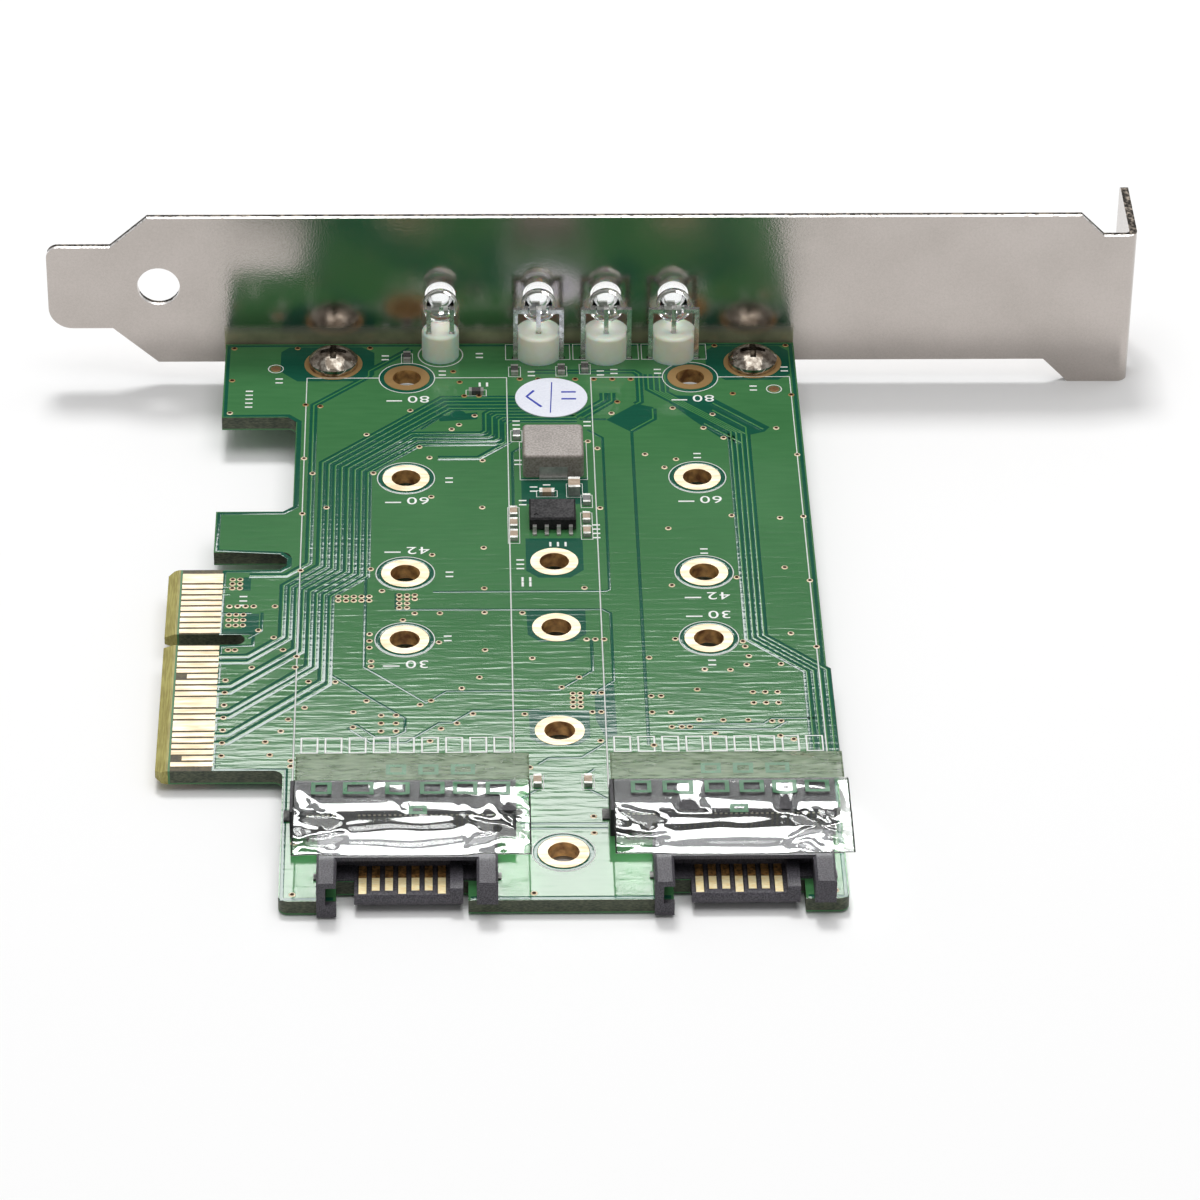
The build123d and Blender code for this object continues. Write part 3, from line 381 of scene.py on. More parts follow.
MATERIALS = {"green_laminate": board_material()}
GAP = mask_paint("mask over bare laminate", *GAP_TONES)[0]
TRACK = mask_paint("mask over a copper track", *TRACK_TONES, TRACK_DEPTH)[0]
print("board materials:", MATERIALS["green_laminate"].name, GAP.name, TRACK.name)

# %% [markdown]
# ## The bracket's plated sheet
# The bracket is sheet steel with a satin nickel coat. Its faces have a fine
# orange peel that blurs the green board mirrored in them, and its edges were
# sheared in a press, so they are half smooth and half torn. An edge is told from
# a face by its direction and its place. Just above the board a soft band of
# painted shade makes the blade duller and darker.

# %% Bracket material
NICKEL_TONES = (0.52, 0.475, 0.445), (0.455, 0.415, 0.385)
SHEAR_BRIGHT, SHEAR_SHADE = (0.90, 0.88, 0.86), (0.30, 0.27, 0.24)
TORN_LIGHT, TORN_DARK = (0.20, 0.17, 0.14), (0.012, 0.010, 0.008)
SHADE_BAND_LIGHT, SHADE_BAND_DARK = (0.46, 0.44, 0.28), (0.20, 0.20, 0.12)
EDGE_ROUGHNESS = 0.42
BLADE_DIRECTION = 0.45
BLADE_FACE = 57.45 * MM
FACE_PLAY = 0.2 * MM
TORN_START = BLADE_FACE + 0.42 * MM
BOARD_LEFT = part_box("circuit_board")[0][0] + 4.4 * MM
BOARD_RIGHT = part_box("circuit_board")[1][0]
SHADE_BAND_BOTTOM, SHADE_BAND_TOP, SHADE_BAND_BLUR = -0.8 * MM, 1.75 * MM, 0.7 * MM


def speckled(tree, dark, light, low, high, scale):
    """Two tones parted by a sharp noise."""
    share = ranged(tree, noisy(tree, object_place(tree), scale, 3.0), low, high)
    return blend(tree, share, rgba(*dark), rgba(*light))


def bracket_material():
    """Satin nickel with orange peel, sheared edges and a band of painted shade just above the board."""
    made, tree, surface = blank_material("nickel plated sheet")
    face = grain_node(tree, *NICKEL_TONES, 120.0, 4600.0, 8.5, 0.15, 0.20, 0.25)
    place = split(tree, object_place(tree))
    behind = past(tree, place["Y"], BLADE_FACE - FACE_PLAY)
    edge = calc(tree, "MULTIPLY", past(tree, flatness(tree), BLADE_DIRECTION), behind)
    sheared = blend(
        tree, past(tree, place["Y"], TORN_START),
        speckled(tree, SHEAR_SHADE, SHEAR_BRIGHT, 0.34, 0.46, 2600.0),
        speckled(tree, TORN_DARK, TORN_LIGHT, 0.45, 0.7, 2600.0),
    )
    # Painted shade: a soft dark band on the blade just above the board, which also lowers the metal's shine.
    shade_band = ranged(tree, place["Z"], SHADE_BAND_TOP - SHADE_BAND_BLUR, SHADE_BAND_TOP + SHADE_BAND_BLUR, 0.95, 0.0)
    for within in (
        below(tree, place["Y"], BLADE_FACE + FACE_PLAY),
        past(tree, place["X"], BOARD_LEFT),
        below(tree, place["X"], BOARD_RIGHT),
        past(tree, place["Z"], SHADE_BAND_BOTTOM),
    ):
        shade_band = calc(tree, "MULTIPLY", shade_band, within)
    colour = blend(tree, shade_band, face["Color"], speckled(tree, SHADE_BAND_DARK, SHADE_BAND_LIGHT, 0.3, 0.7, 260.0))
    feed(tree, surface, {
        "Base Color": blend(tree, edge, colour, sheared),
        "Roughness": blend(tree, edge, face["Roughness"], EDGE_ROUGHNESS, "FLOAT"),
        "Normal": face["Normal"],
        "Metallic": ranged(tree, shade_band, 0.0, 1.0, 1.0, 0.25),
    })
    return made


MATERIALS["nickel_steel"] = bracket_material()

# %% [markdown]
# ## Metals
# Gold plate on a board is thin and pale, and its surface is nearly a mirror with
# a fine scratch. Tin is whiter and a little rougher. The screws are bright
# nickel, which looks dark or white depending on what it mirrors. In the calls
# below, the numbers after a finish's two tones are the scales of its drift and
# grain, the grain's depth in micrometres, and its least and greatest roughness.

# %% Gold in three kinds
GOLD_TONES = (0.80, 0.68, 0.50), (0.62, 0.49, 0.31)
BARREL_LIGHT, BARREL_DARK = (0.80, 0.49, 0.18), (0.24, 0.11, 0.038)
FAR_PAINTED_REFLECTION, FAR_REFLECTION_START = (0.38, 0.23, 0.09), 44.0 * MM
CONTACT_TONES = (1.0, 0.90, 0.60), (0.92, 0.70, 0.32)
ROOF_SHADE_LIGHT, ROOF_SHADE_DARK, ROOF_SHADE_START = (0.42, 0.22, 0.07), (0.10, 0.045, 0.012), -40.1 * MM
SHADED_SPRING_TONES = (0.10, 0.085, 0.06), (0.03, 0.026, 0.02)
SHOULDER, SHOULDER_START = (0.95, 0.88, 0.70), 2.45 * MM


def retoned(made, axis, start, over):
    """Lays one more tone over a material's colour, past a place on one axis."""
    tree = made.node_tree
    colour = tree.nodes["Principled BSDF"].inputs["Base Color"]
    mask = past(tree, split(tree, object_place(tree))[axis], start)
    tree.links.new(blend(tree, mask, colour.links[0].from_socket, over(tree)), colour)
    return made


def gold_material():
    """Pale thin gold on flat pads, darkened near the bracket as a painted reflection of it, and browner
    copper-gold with painted shade down the walls of holes.
    """
    # Painted reflection: pads past a line near the bracket turn dark brown, as if they mirrored the dark bracket.
    made = retoned(
        grained("thin gold plate", *GOLD_TONES, 300.0, 2400.0, 1.2, 0.36, 0.5,
                share=0.4, stretch=(0.15, 1.0, 1.0), Metallic=0.35),
        "Y", FAR_REFLECTION_START, lambda tree: rgba(*FAR_PAINTED_REFLECTION),
    )
    tree = made.node_tree
    colour = tree.nodes["Principled BSDF"].inputs["Base Color"]
    # Browner copper-gold on the walls of holes, partly the plating's own tone and partly painted shade inside the
    # hole.
    brown_and_shade = speckled(tree, BARREL_DARK, BARREL_LIGHT, 0.35, 0.65, 900.0)
    wall = below(tree, flatness(tree), FACE_DIRECTION)
    tree.links.new(blend(tree, wall, colour.links[0].from_socket, brown_and_shade), colour)
    return made


MATERIALS["gold_plate"] = gold_material()
# Painted shade: the cable plug contacts turn dark brown towards their root, where the plug's roof shades them.
PLUG_GOLD = retoned(
    grained("contact gold with painted roof shade", *CONTACT_TONES, 1500.0, 4200.0, 3.0, 0.3, 0.45,
            share=0.5, stretch=(0.4, 2.4, 1.0), Metallic=0.15),
    "Y", ROOF_SHADE_START, lambda tree: speckled(tree, ROOF_SHADE_DARK, ROOF_SHADE_LIGHT, 0.35, 0.65, 3000.0),
)
# Painted shade: the socket's spring contacts are near black below their pale tops, where the socket body shades
# them.
SOCKET_SPRING = retoned(
    grained("spring contact in painted shade", *SHADED_SPRING_TONES, 900.0, 3000.0, 10.0, 0.4, 0.6, Metallic=0.8),
    "Z", SHOULDER_START, lambda tree: rgba(*SHOULDER),
)

# %% Tin, nickel and copper
MATERIALS["tinned_metal"] = grained(
    "bright tin", (0.56, 0.56, 0.53), (0.34, 0.34, 0.32), 700.0, 2600.0, 10.0, 0.36, 0.55, Metallic=0.6)
MATERIALS["bright_steel"] = grained(
    "bright nickel screw", (0.56, 0.51, 0.44), (0.17, 0.14, 0.11), 1300.0, 1300.0, 30.0, 0.07, 0.18,
    share=0.5, Metallic=0.95)
LEG_WIRE = grained(
    "polished leg wire", (0.88, 0.87, 0.84), (0.50, 0.49, 0.47), 900.0, 1600.0, 30.0, 0.2, 0.3,
    share=0.5, Metallic=0.8)
HOLD_DOWN = grained(
    "dull tinned hold-down", (0.20, 0.20, 0.19), (0.07, 0.07, 0.07), 900.0, 2600.0, 8.0, 0.6, 0.8,
    Metallic=0.6)
COPPER = grained(
    "bare copper", (0.62, 0.38, 0.20), (0.36, 0.19, 0.09), 900.0, 3000.0, 3.0, 0.3, 0.45, Metallic=0.8)

# %% [markdown]
# ## Plastics, ceramics, paper and ink
# The socket and plug housings are dark slate plastic with a spark-eroded grain.
# The regulator is matt black. The coil is grey pressed iron powder. The lamp
# spacers are milky nylon that light passes into, so they use subsurface
# scattering. Ink is nearly even and has a very low grain.

# %% Moulded and fired materials
MATERIALS["slate_plastic"] = grained(
    "slate moulded plastic", (0.076, 0.070, 0.084), (0.028, 0.026, 0.033), 700.0, 7600.0, 12.0, 0.45, 0.6,
    share=0.85)
MATERIALS["chip_plastic"] = grained(
    "matt chip plastic", (0.026, 0.024, 0.026), (0.010, 0.010, 0.011), 600.0, 4200.0, 8.0, 0.5, 0.7,
    share=0.5, Specular_IOR_Level=0.25)
MATERIALS["iron_powder"] = grained(
    "pressed iron powder", (0.34, 0.30, 0.27), (0.20, 0.175, 0.155), 500.0, 4800.0, 10.0, 0.34, 0.5,
    share=0.55)
MATERIALS["ceramic_tan"] = grained(
    "tan fired ceramic", (0.40, 0.29, 0.19), (0.27, 0.19, 0.12), 900.0, 4000.0, 4.0, 0.4, 0.6)
MATERIALS["ceramic_dark"] = grained(
    "dark glazed ceramic", (0.10, 0.095, 0.09), (0.03, 0.03, 0.03), 900.0, 4000.0, 4.0, 0.2, 0.4)
MATERIALS["label_paper"] = grained(
    "coated label paper", (0.80, 0.82, 0.90), (0.74, 0.76, 0.85), 300.0, 5000.0, 4.0, 0.4, 0.6, share=0.5)
MATERIALS["milky_nylon"] = grained(
    "milky nylon", (0.88, 0.90, 0.80), (0.84, 0.85, 0.70), 180.0, 1500.0, 6.0, 0.3, 0.45,
    Subsurface_Weight=0.6, Subsurface_Scale=0.002)
SOCKET_SLATE = grained(
    "dark socket plastic", (0.030, 0.027, 0.034), (0.013, 0.012, 0.015), 700.0, 7000.0, 10.0, 0.45, 0.6,
    share=0.8, Specular_IOR_Level=0.3)

# %% Inks and the painted shade of a via
INK_WHITE = grained("white screen ink", (0.88, 0.89, 0.86), (0.76, 0.78, 0.75), 500.0, 4200.0, 4.0, 0.45, 0.65)
INK_BLUE = grained("blue label ink", (0.030, 0.055, 0.50), (0.018, 0.035, 0.36), 800.0, 5000.0, 2.0, 0.4, 0.6)
INK_GREEN = grained("green film ink", (0.022, 0.17, 0.060), (0.012, 0.11, 0.036), 500.0, 3000.0, 2.0, 0.25, 0.4)
# Painted shade: a near black disc stands for the shade inside each via's hole.
VIA_WELL_SHADE = grained(
    "painted shade of a via well", (0.060, 0.022, 0.010), (0.018, 0.008, 0.004), 900.0, 3000.0, 2.0, 0.8, 0.95,
    Specular_IOR_Level=0.1)

# %% [markdown]
# ## Clear resin and clear film
# Glass-like pieces use the transmission of the Principled shader. A lamp's light
# has to get through them to what lies below, so a ray that only asks for shadow
# meets a transparent shader instead. The film's wrinkles are in its mesh, and
# only a faint orange peel is left to the shader.

# %% Clear materials
SEE_THROUGH = rgba(0.93, 0.95, 0.93)
NEARLY_WHITE = rgba(0.99, 0.99, 0.99)


def clear_material(name, tint, roughness, refraction, ripple_scale, ripple_depth):
    """Transparent resin that lets the light of lamps through to what it covers."""
    made, tree, surface = blank_material(name)
    surface.inputs["Transmission Weight"].default_value = 1.0
    surface.inputs["IOR"].default_value = refraction
    ripple = noisy(tree, object_place(tree), ripple_scale, 2.0)
    feed(tree, surface, {
        "Base Color": blend(tree, ripple, rgba(*tint), NEARLY_WHITE),
        "Roughness": ranged(tree, ripple, 0.0, 1.0, roughness * 0.5, roughness * 1.5),
        "Normal": bumped(tree, ripple, ripple_depth * MICRON),
    })
    chosen = put(tree, "ShaderNodeMixShader", {
        0: put(tree, "ShaderNodeLightPath").outputs["Is Shadow Ray"],
        1: surface.outputs[0],
        2: put(tree, "ShaderNodeBsdfTransparent", {"Color": SEE_THROUGH}).outputs[0],
    })
    tree.links.new(chosen.outputs[0], tree.nodes["Material Output"].inputs["Surface"])
    return made


MATERIALS["clear_plastic"] = clear_material("clear lamp resin", (0.93, 0.96, 0.96), 0.02, 1.5, 900.0, 2.0)
MATERIALS["clear_film"] = clear_material("clear film", (0.92, 0.95, 0.92), 0.04, 1.58, 700.0, 3.0)
print("materials:", len(MATERIALS))

# %% Each node takes the material of its slot
LAMP_NUMBERS = (1, 2, 3, 4)
OWN_FINISH = {f"lamp_{number}_leads": LEG_WIRE for number in LAMP_NUMBERS}
for side in ("left", "right", "back"):
    OWN_FINISH[f"{side}_socket_housing"] = SOCKET_SLATE
    OWN_FINISH[f"{side}_socket_hold_downs"] = HOLD_DOWN
for side in ("left", "right"):
    OWN_FINISH[f"{side}_socket_contacts"] = SOCKET_SPRING
    OWN_FINISH[f"{side}_cable_plug_contacts"] = PLUG_GOLD
    OWN_FINISH[f"{side}_cable_plug_board_locks"] = HOLD_DOWN


def dress_frame():
    """Gives every frame node its own finish, or the material of the slot that the record names."""
    for part in frame["record"]["subparts"]:
        shell = frame["nodes"][part["node"]]
        shell.data.materials.clear()
        shell.data.materials.append(OWN_FINISH.get(part["node"], MATERIALS[part["material_slot"]]))
    return len(frame["record"]["subparts"])


print("dressed:", dress_frame())

# %% [markdown]
# ## Lines on the board
# Tracks, the gaps beside them and the printed outlines are all lines of one
# width that follow a path. Geometry Nodes sweep a low trapezoid along each path:
# its sloping sides catch the light as real copper under lacquer does. The same
# tree serves all of them with other sizes.

# %% Ribbon tree
MATERIAL = "NodeSocketMaterial"
GEOMETRY = "NodeSocketGeometry"


def ribbon_tree():
    """A low trapezoid swept along every line of a curve object."""
    tree, given, out = new_group("Ribbon along a line", "GeometryNodeTree", {
        "Geometry": (GEOMETRY, None),
        "Width": (FLOAT, 0.3 * MM),
        "Slope": (FLOAT, 0.03 * MM),
        "Height": (FLOAT, 0.03 * MM),
        "Finish": (MATERIAL, None),
    }, {"Geometry": GEOMETRY})
    level = put(tree, "GeometryNodeSetCurveNormal", {"Curve": given["Geometry"]}, mode="Z_UP")
    crown = calc(tree, "SUBTRACT", given["Width"], calc(tree, "MULTIPLY", given["Slope"], 2.0))
    section = put(tree, "GeometryNodeCurvePrimitiveQuadrilateral", {
        "Bottom Width": crown, "Top Width": given["Width"], "Height": given["Height"], "Offset": 0.0,
    }, mode="TRAPEZOID")
    swept = put(tree, "GeometryNodeCurveToMesh", {
        "Curve": level.outputs[0], "Profile Curve": section.outputs[0], "Fill Caps": True})
    solid = put(tree, "GeometryNodeRealizeInstances", {"Geometry": swept.outputs[0]})
    painted = put(tree, "GeometryNodeSetMaterial", {"Geometry": solid.outputs[0], "Material": given["Finish"]})
    tree.links.new(painted.outputs[0], out.inputs["Geometry"])
    return tree


RIBBON = ribbon_tree()
BOARD_THICKNESS = 1.6
TO_BACK = Matrix.Translation((0, 0, -BOARD_THICKNESS * MM)) @ Matrix.Scale(-1, 4, (0, 0, 1))


def set_input(modifier, label, value):
    """Sets a Geometry Nodes input by its socket's identifier."""
    for item in modifier.node_group.interface.items_tree:
        if item.item_type == "SOCKET" and item.in_out == "INPUT" and item.name == label:
            modifier[item.identifier] = value


def mesh_of(source):
    """The mesh that an object comes to. The object itself is removed."""
    bpy.context.view_layer.update()
    mesh = bpy.data.meshes.new_from_object(source.evaluated_get(bpy.context.evaluated_depsgraph_get()))
    bpy.data.objects.remove(source)
    return mesh


def baked(source, tree, values, name, back=False):
    """Runs a node tree on an object and keeps the result as a plain mesh object."""
    modifier = source.modifiers.new("nodes", "NODES")
    modifier.node_group = tree
    for label, value in values.items():
        set_input(modifier, label, value)
    mesh = mesh_of(source)
    if back:
        mesh.transform(TO_BACK)
        mesh.flip_normals()
    mesh.name = name
    return show(name, mesh)


def settle(piece):
    """Lets a finished piece ride on the card."""
    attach(piece, BODY)
    print(piece.name, "faces:", len(piece.data.polygons))
    return piece


def mesh_piece(name, build, finish):
    """A finished piece from a bmesh."""
    mesh = bpy.data.meshes.new(name)
    build.to_mesh(mesh)
    build.free()
    mesh.materials.append(finish)
    return settle(show(name, mesh))


print("tree:", RIBBON.name)

# %% Lines become one piece
SLOPE = 0.085
SINK = 0.004
LAP = 0.0004


def ribbons(name, lines, width, height, finish, slot="green_laminate", top=0.0, closed=False, back=False):
    """Every line, given as points in millimetres, as a ribbon that stands on the front or the back."""
    data = bpy.data.curves.new(name, "CURVE")
    data.dimensions = "3D"
    middle = top + height / 2 - SINK
    for count, line in enumerate(lines):
        spline = data.splines.new("POLY")
        spline.points.add(len(line) - 1)
        spline.use_cyclic_u = closed
        for point, (x, y) in zip(spline.points, line):
            point.co = (x * MM, y * MM, (middle - count % 4 * LAP) * MM, 1.0)
    made = baked(show(name + "_lines", data), RIBBON, {
        "Width": width * MM, "Slope": SLOPE * MM, "Height": height * MM, "Finish": finish}, name, back)
    return settle(made)


def circle(x, y, radius, steps=40):
    """Points round a circle."""
    turns = [2 * math.pi * n / steps for n in range(steps)]
    return [(x + radius * math.cos(a), y + radius * math.sin(a)) for a in turns]


# %% [markdown]
# ## Where the tracks run
# Eight tracks leave the gold fingers in pairs, climb beside the left drive and
# fan out under the label. Four more climb beside the right drive. Each pair's
# path follows from its finger and its place in the bundle, with turns of 45
# degrees, so the bundle is worked out and not listed.

# %% Track bundles
BUNDLE_PITCH = 0.7
LOW_BUNDLE_X = -12.6
BUNDLE_SHIFT = 3.65
LOW_TURN_Y = 9.9
FINGER_END = -18.95
FINGER_Y = (-2.75, -3.8, -7.9, -9.1, -12.3, -13.3, -16.3, -17.7)
FAN_UPPER_Y = 45.9
FAN_LOWER_Y = 38.75
RIGHT_COUNT = 4
RIGHT_PITCH = 0.56
RIGHT_X = 35.15


def left_track(n):
    """One of the eight tracks from a gold finger to the power supply."""
    low_x = LOW_BUNDLE_X + n * BUNDLE_PITCH
    turn_x = -16.0 if n < 2 else -17.6
    high_x = low_x + BUNDLE_SHIFT
    turn_y = LOW_TURN_Y - n * BUNDLE_PITCH * 0.42
    line = [
        (FINGER_END, FINGER_Y[n]),
        (turn_x, FINGER_Y[n]),
        (low_x, FINGER_Y[n] + low_x - turn_x),
        (low_x, turn_y),
        (high_x, turn_y + BUNDLE_SHIFT),
    ]
    if n < 4:
        level = FAN_UPPER_Y - n * BUNDLE_PITCH
        rise = level - (33.1 - n * 0.29)
        return line + [(high_x, level - rise), (high_x + rise, level), (12.6, level)]
    step = n - 4
    level = FAN_LOWER_Y - step * BUNDLE_PITCH
    rise = level - (32.0 - step * 0.29)
    corner = 8.6 + step * BUNDLE_PITCH
    upper = 43.2 - step * BUNDLE_PITCH * 0.9
    return line + [
        (high_x, level - rise), (high_x + rise, level), (corner - 0.5, level),
        (corner, level + 0.5), (corner, upper - 0.5), (corner + 0.5, upper), (18.5, upper),
    ]


def right_track(n):
    """One of the four tracks beside the right drive."""
    x = RIGHT_X + n * RIGHT_PITCH
    low = 5.7 + n * 0.12
    return [
        (26.5 + n * 0.62, 50.6),
        (26.5 + n * 0.62, 47.6 - n * 0.25),
        (x, 47.6 - n * 0.25 - (x - 26.5 - n * 0.62)),
        (x, -0.2 + n * 0.22),
        (x + low, -0.2 + n * 0.22 - low),
        (x + low, -21.5),
    ]


BUNDLES = [left_track(n) for n in range(8)] + [right_track(n) for n in range(RIGHT_COUNT)]
PAIRS = [
    [(3.4, 33.9), (7.8, 33.9), (11.2, 37.3)],
    [(21.5, 46.8), (21.5, 45.3), (18.1, 41.9)],
    [(22.4, 46.8), (22.4, 45.2), (19.2, 41.9)],
    [(14.0, 51.2), (23.4, 51.2), (25.0, 51.2), (25.5, 50.6), (25.5, 45.0), (25.0, 44.5)],
    [(32.3, 40.6), (36.2, 36.7)],
    [(33.3, 43.3), (36.8, 39.8), (36.8, 38.0)],
    [(38.7, 39.4), (33.4, 44.7)],
    [(24.3, 39.2), (26.8, 41.6), (26.8, 43.6)],
    [(0.4, 56.0), (-4.2, 51.4), (-4.2, 50.4), (-10.1, 44.5), (-10.1, 14.0), (-12.4, 11.7), (-16.2, 11.7)],
]
STUBS = [[(FINGER_END, y), (-18.1, y)] for y in (8.3, 9.7, -4.8, -7.0, -9.8, -11.9, -14.3, -15.8, -19.7, -21.3)]

# %% [markdown]
# ## The lighter pour and its darker gaps
# Most of the board is one sheet of ground copper, which makes the lacquer look
# lighter. Where copper is left out, beside tracks and round holes, the lacquer
# looks dark and bluish. The gaps are drawn as low dark ribbons and flat shapes,
# and the tracks stand on them.

# %% Gap lines and clearings
GAP_LINES = [
    [(-4.1, 12.6), (-4.1, -4.8), (2.2, -11.1), (4.2, -9.1), (15.6, -9.0), (19.1, -5.6), (19.1, -0.2)],
    [(-7.4, -6.2), (0.1, -13.7), (0.1, -15.9), (-1.0, -16.8), (-2.9, -16.8), (-4.8, -14.7), (-5.6, -15.4),
     (-3.3, -17.8), (0.2, -17.8), (3.5, -14.5), (4.8, -14.5), (6.9, -12.4), (13.6, -12.4)],
    [(24.4, 39.0), (24.4, -18.4)],
    [(19.6, 39.4), (21.2, 37.8), (21.2, 8.9), (20.8, 8.6), (2.9, 8.6)],
    [(-0.9, 5.5), (-0.9, 8.4)],
    [(-0.9, 5.4), (12.6, 5.3), (20.4, 5.3), (21.2, 4.6), (21.2, -7.4), (18.6, -9.9)],
    [(12.4, 36.0), (11.4, 35.0), (11.4, 21.8)],
    [(1.6, 39.6), (3.9, 42.4)],
    [(27.4, -14.9), (36.0, -14.9), (36.9, -14.0), (41.2, -14.0)],
    [(27.4, -15.8), (37.0, -15.8), (38.4, -14.5)],
    [(20.2, -17.9), (17.6, -20.5), (14.4, -20.5), (13.3, -21.6)],
    [(18.9, -22.4), (18.0, -23.3)],
    [(18.1, -25.6), (20.0, -27.3)],
    [(13.3, -25.6), (11.6, -27.3)],
    [(11.4, -31.3), (20.0, -31.3)],
    [(11.4, -32.1), (20.0, -32.1)],
    [(21.7, 41.5), (18.8, 41.5)],
    [(-18.9, 4.9), (-15.8, 4.9)],
    [(-16.0, 0.4), (-14.7, 1.7), (-14.7, 5.0)],
]
CLEARINGS = [
    [(26.9, 43.9), (26.9, 41.2), (24.4, 38.9), (21.7, 41.4), (25.0, 44.6)],
    [(29.0, 46.3), (33.2, 46.0), (39.4, 39.8), (38.8, 38.9), (37.0, 38.2), (34.2, 37.4),
     (31.2, 41.2), (27.4, 46.6)],
    [(12.6, 17.0), (12.6, 12.4), (13.9, 11.1), (17.2, 11.1), (18.6, 12.5), (18.6, 18.4), (12.6, 18.4)],
    [(12.5, 5.2), (12.6, 0.8), (13.9, -0.5), (17.2, -0.5), (18.6, 0.9), (18.6, 5.2)],
    [(12.5, -12.5), (12.6, -17.2), (13.9, -18.5), (17.2, -18.5), (18.6, -17.1), (18.6, -12.5)],
    [(19.2, -9.3), (21.2, -7.4), (21.3, -16.6), (20.2, -17.5), (19.2, -14.0)],
    [(3.4, 42.2), (7.7, 43.0), (7.7, 41.6), (3.6, 41.2)],
    [(12.3, 30.0), (12.3, 24.9), (19.4, 24.9), (19.4, 30.0)],
    [(-16.7, 4.8), (-15.0, 4.8), (-15.0, 1.0), (-18.6, 1.0), (-18.6, 2.1), (-16.7, 2.1)],
    [(-16.8, 11.4), (-16.0, 11.4), (-16.0, 9.0), (-17.0, 9.0), (-17.0, 9.4), (-16.8, 9.4)],
    [(-13.9, 55.4), (-13.0, 56.4), (-5.0, 56.4), (-3.6, 55.2), (-3.6, 50.6), (-5.0, 49.4), (-12.0, 49.4),
     (-13.9, 51.4)],
    [(33.0, 55.4), (34.0, 56.4), (41.2, 56.4), (42.2, 55.4), (42.2, 50.6), (40.8, 49.4), (35.0, 49.4),
     (33.0, 51.4)],
]
LEFT_X, MIDDLE_X, RIGHT_DRIVE_X = 0.0, 15.56, 31.15
FRONT_HOLES = (0.0, 12.0, 30.0, 50.0)
BACK_HOLES = (14.07, 2.07, -15.93, -35.93)
PAD_RADIUS = 2.5
SCREWS = ((-8.1, 52.9), (38.15, 52.9))
SCREW_PAD_RADIUS = 3.2
ROUND_HOLES = [(MIDDLE_X, y, PAD_RADIUS - 0.1) for y in BACK_HOLES]
ROUND_HOLES += [(x, y, SCREW_PAD_RADIUS - 0.1) for x, y in SCREWS]
GAP_WIDTH = 0.42
GAP_HEIGHT = 0.012
STACK = 0.0002
TRACK_WIDTH = 0.3
TRACK_HEIGHT = 0.016
BUNDLE_GAP = 0.98


def inside(shape, x, y):
    """Whether a point lies in an outline."""
    odd = False
    for (x0, y0), (x1, y1) in zip(shape, shape[1:] + shape[:1]):
        if (y0 > y) != (y1 > y) and x < x0 + (x1 - x0) * (y - y0) / (y1 - y0):
            odd = not odd
    return odd


def loop_of_edges(build, points, level):
    """A closed loop of edges through the points."""
    corners = [build.verts.new((x * MM, y * MM, level * MM)) for x, y in points]
    return [build.edges.new(pair) for pair in zip(corners, corners[1:] + corners[:1])]


def flat_shapes(name, shapes, level, finish, round_holes=()):
    """Flat filled outlines that leave out each round hole, given as x, y, radius, within them."""
    build = bmesh.new()
    side = math.copysign(1.0, level)
    for count, shape in enumerate(shapes):
        height = level + side * count * STACK
        edges = loop_of_edges(build, shape, height)
        for x, y, radius in round_holes:
            if inside(shape, x, y):
                edges += loop_of_edges(build, circle(x, y, radius, 32), height)
        filled = bmesh.ops.triangle_fill(build, use_beauty=True, edges=edges)["geom"]
        for face in filled:
            if isinstance(face, bmesh.types.BMFace):
                face.normal_update()
                if face.normal.z * side < 0:
                    face.normal_flip()
    return mesh_piece(name, build, finish)


flat_shapes("board_clearings", CLEARINGS, 0.004, GAP, ROUND_HOLES)
ribbons("board_gaps", GAP_LINES + STUBS, GAP_WIDTH, GAP_HEIGHT, GAP)
ribbons("bundle_gaps", BUNDLES + PAIRS, BUNDLE_GAP, GAP_HEIGHT, GAP)
ribbons("board_tracks", BUNDLES + PAIRS + STUBS, TRACK_WIDTH, TRACK_HEIGHT, TRACK)

# %% [markdown]
# ## Rings round the drive holes and the copper-free rim
# The pour keeps clear of each plated hole and of the board's cut edge. The first
# shows as a dark ring outside the gold, the second as a dark rim along the edge.

# %% Hole rings and rim
PRINT_RADIUS = 3.05
RIM = [
    [
        (-6.65, -43.1), (-11.6, -43.1), (-11.6, -22.2), (-18.8, -22.2), (-18.8, -1.0),
        (-15.5, -0.9), (-15.5, 1.2),
        (-18.8, 1.2), (-18.8, 12.5), (-13.0, 12.5), (-12.1, 13.4), (-12.1, 14.9), (-13.0, 15.9),
        (-19.7, 16.4),
        (-19.7, 23.35), (-12.9, 23.4), (-11.6, 24.6), (-11.6, 41.2), (-12.8, 42.45), (-19.7, 42.45),
        (-19.7, 56.7), (42.55, 56.7), (42.55, -43.1), (38.95, -43.1),
    ],
    [(6.55, -43.1), (25.75, -43.1)],
]
drive_holes = [(x, y) for x in (LEFT_X, RIGHT_DRIVE_X) for y in FRONT_HOLES]
middle_holes = [(MIDDLE_X, y) for y in BACK_HOLES]
hole_rings = [circle(x, y, (PAD_RADIUS + PRINT_RADIUS) / 2) for x, y in drive_holes + middle_holes[-1:]]
ribbons("hole_clearance_rings", hole_rings, PRINT_RADIUS - PAD_RADIUS, GAP_HEIGHT * 1.3, GAP, closed=True)
ribbons("board_rim", RIM, 0.62, GAP_HEIGHT * 0.8, GAP)

# %% [markdown]
# ## Inside the lamps
# Each lamp is a clear cast body round two posts. The wider post ends in a small
# cup that holds the chip. They are pale metal and show as dark and bright
# flecks through the plastic.

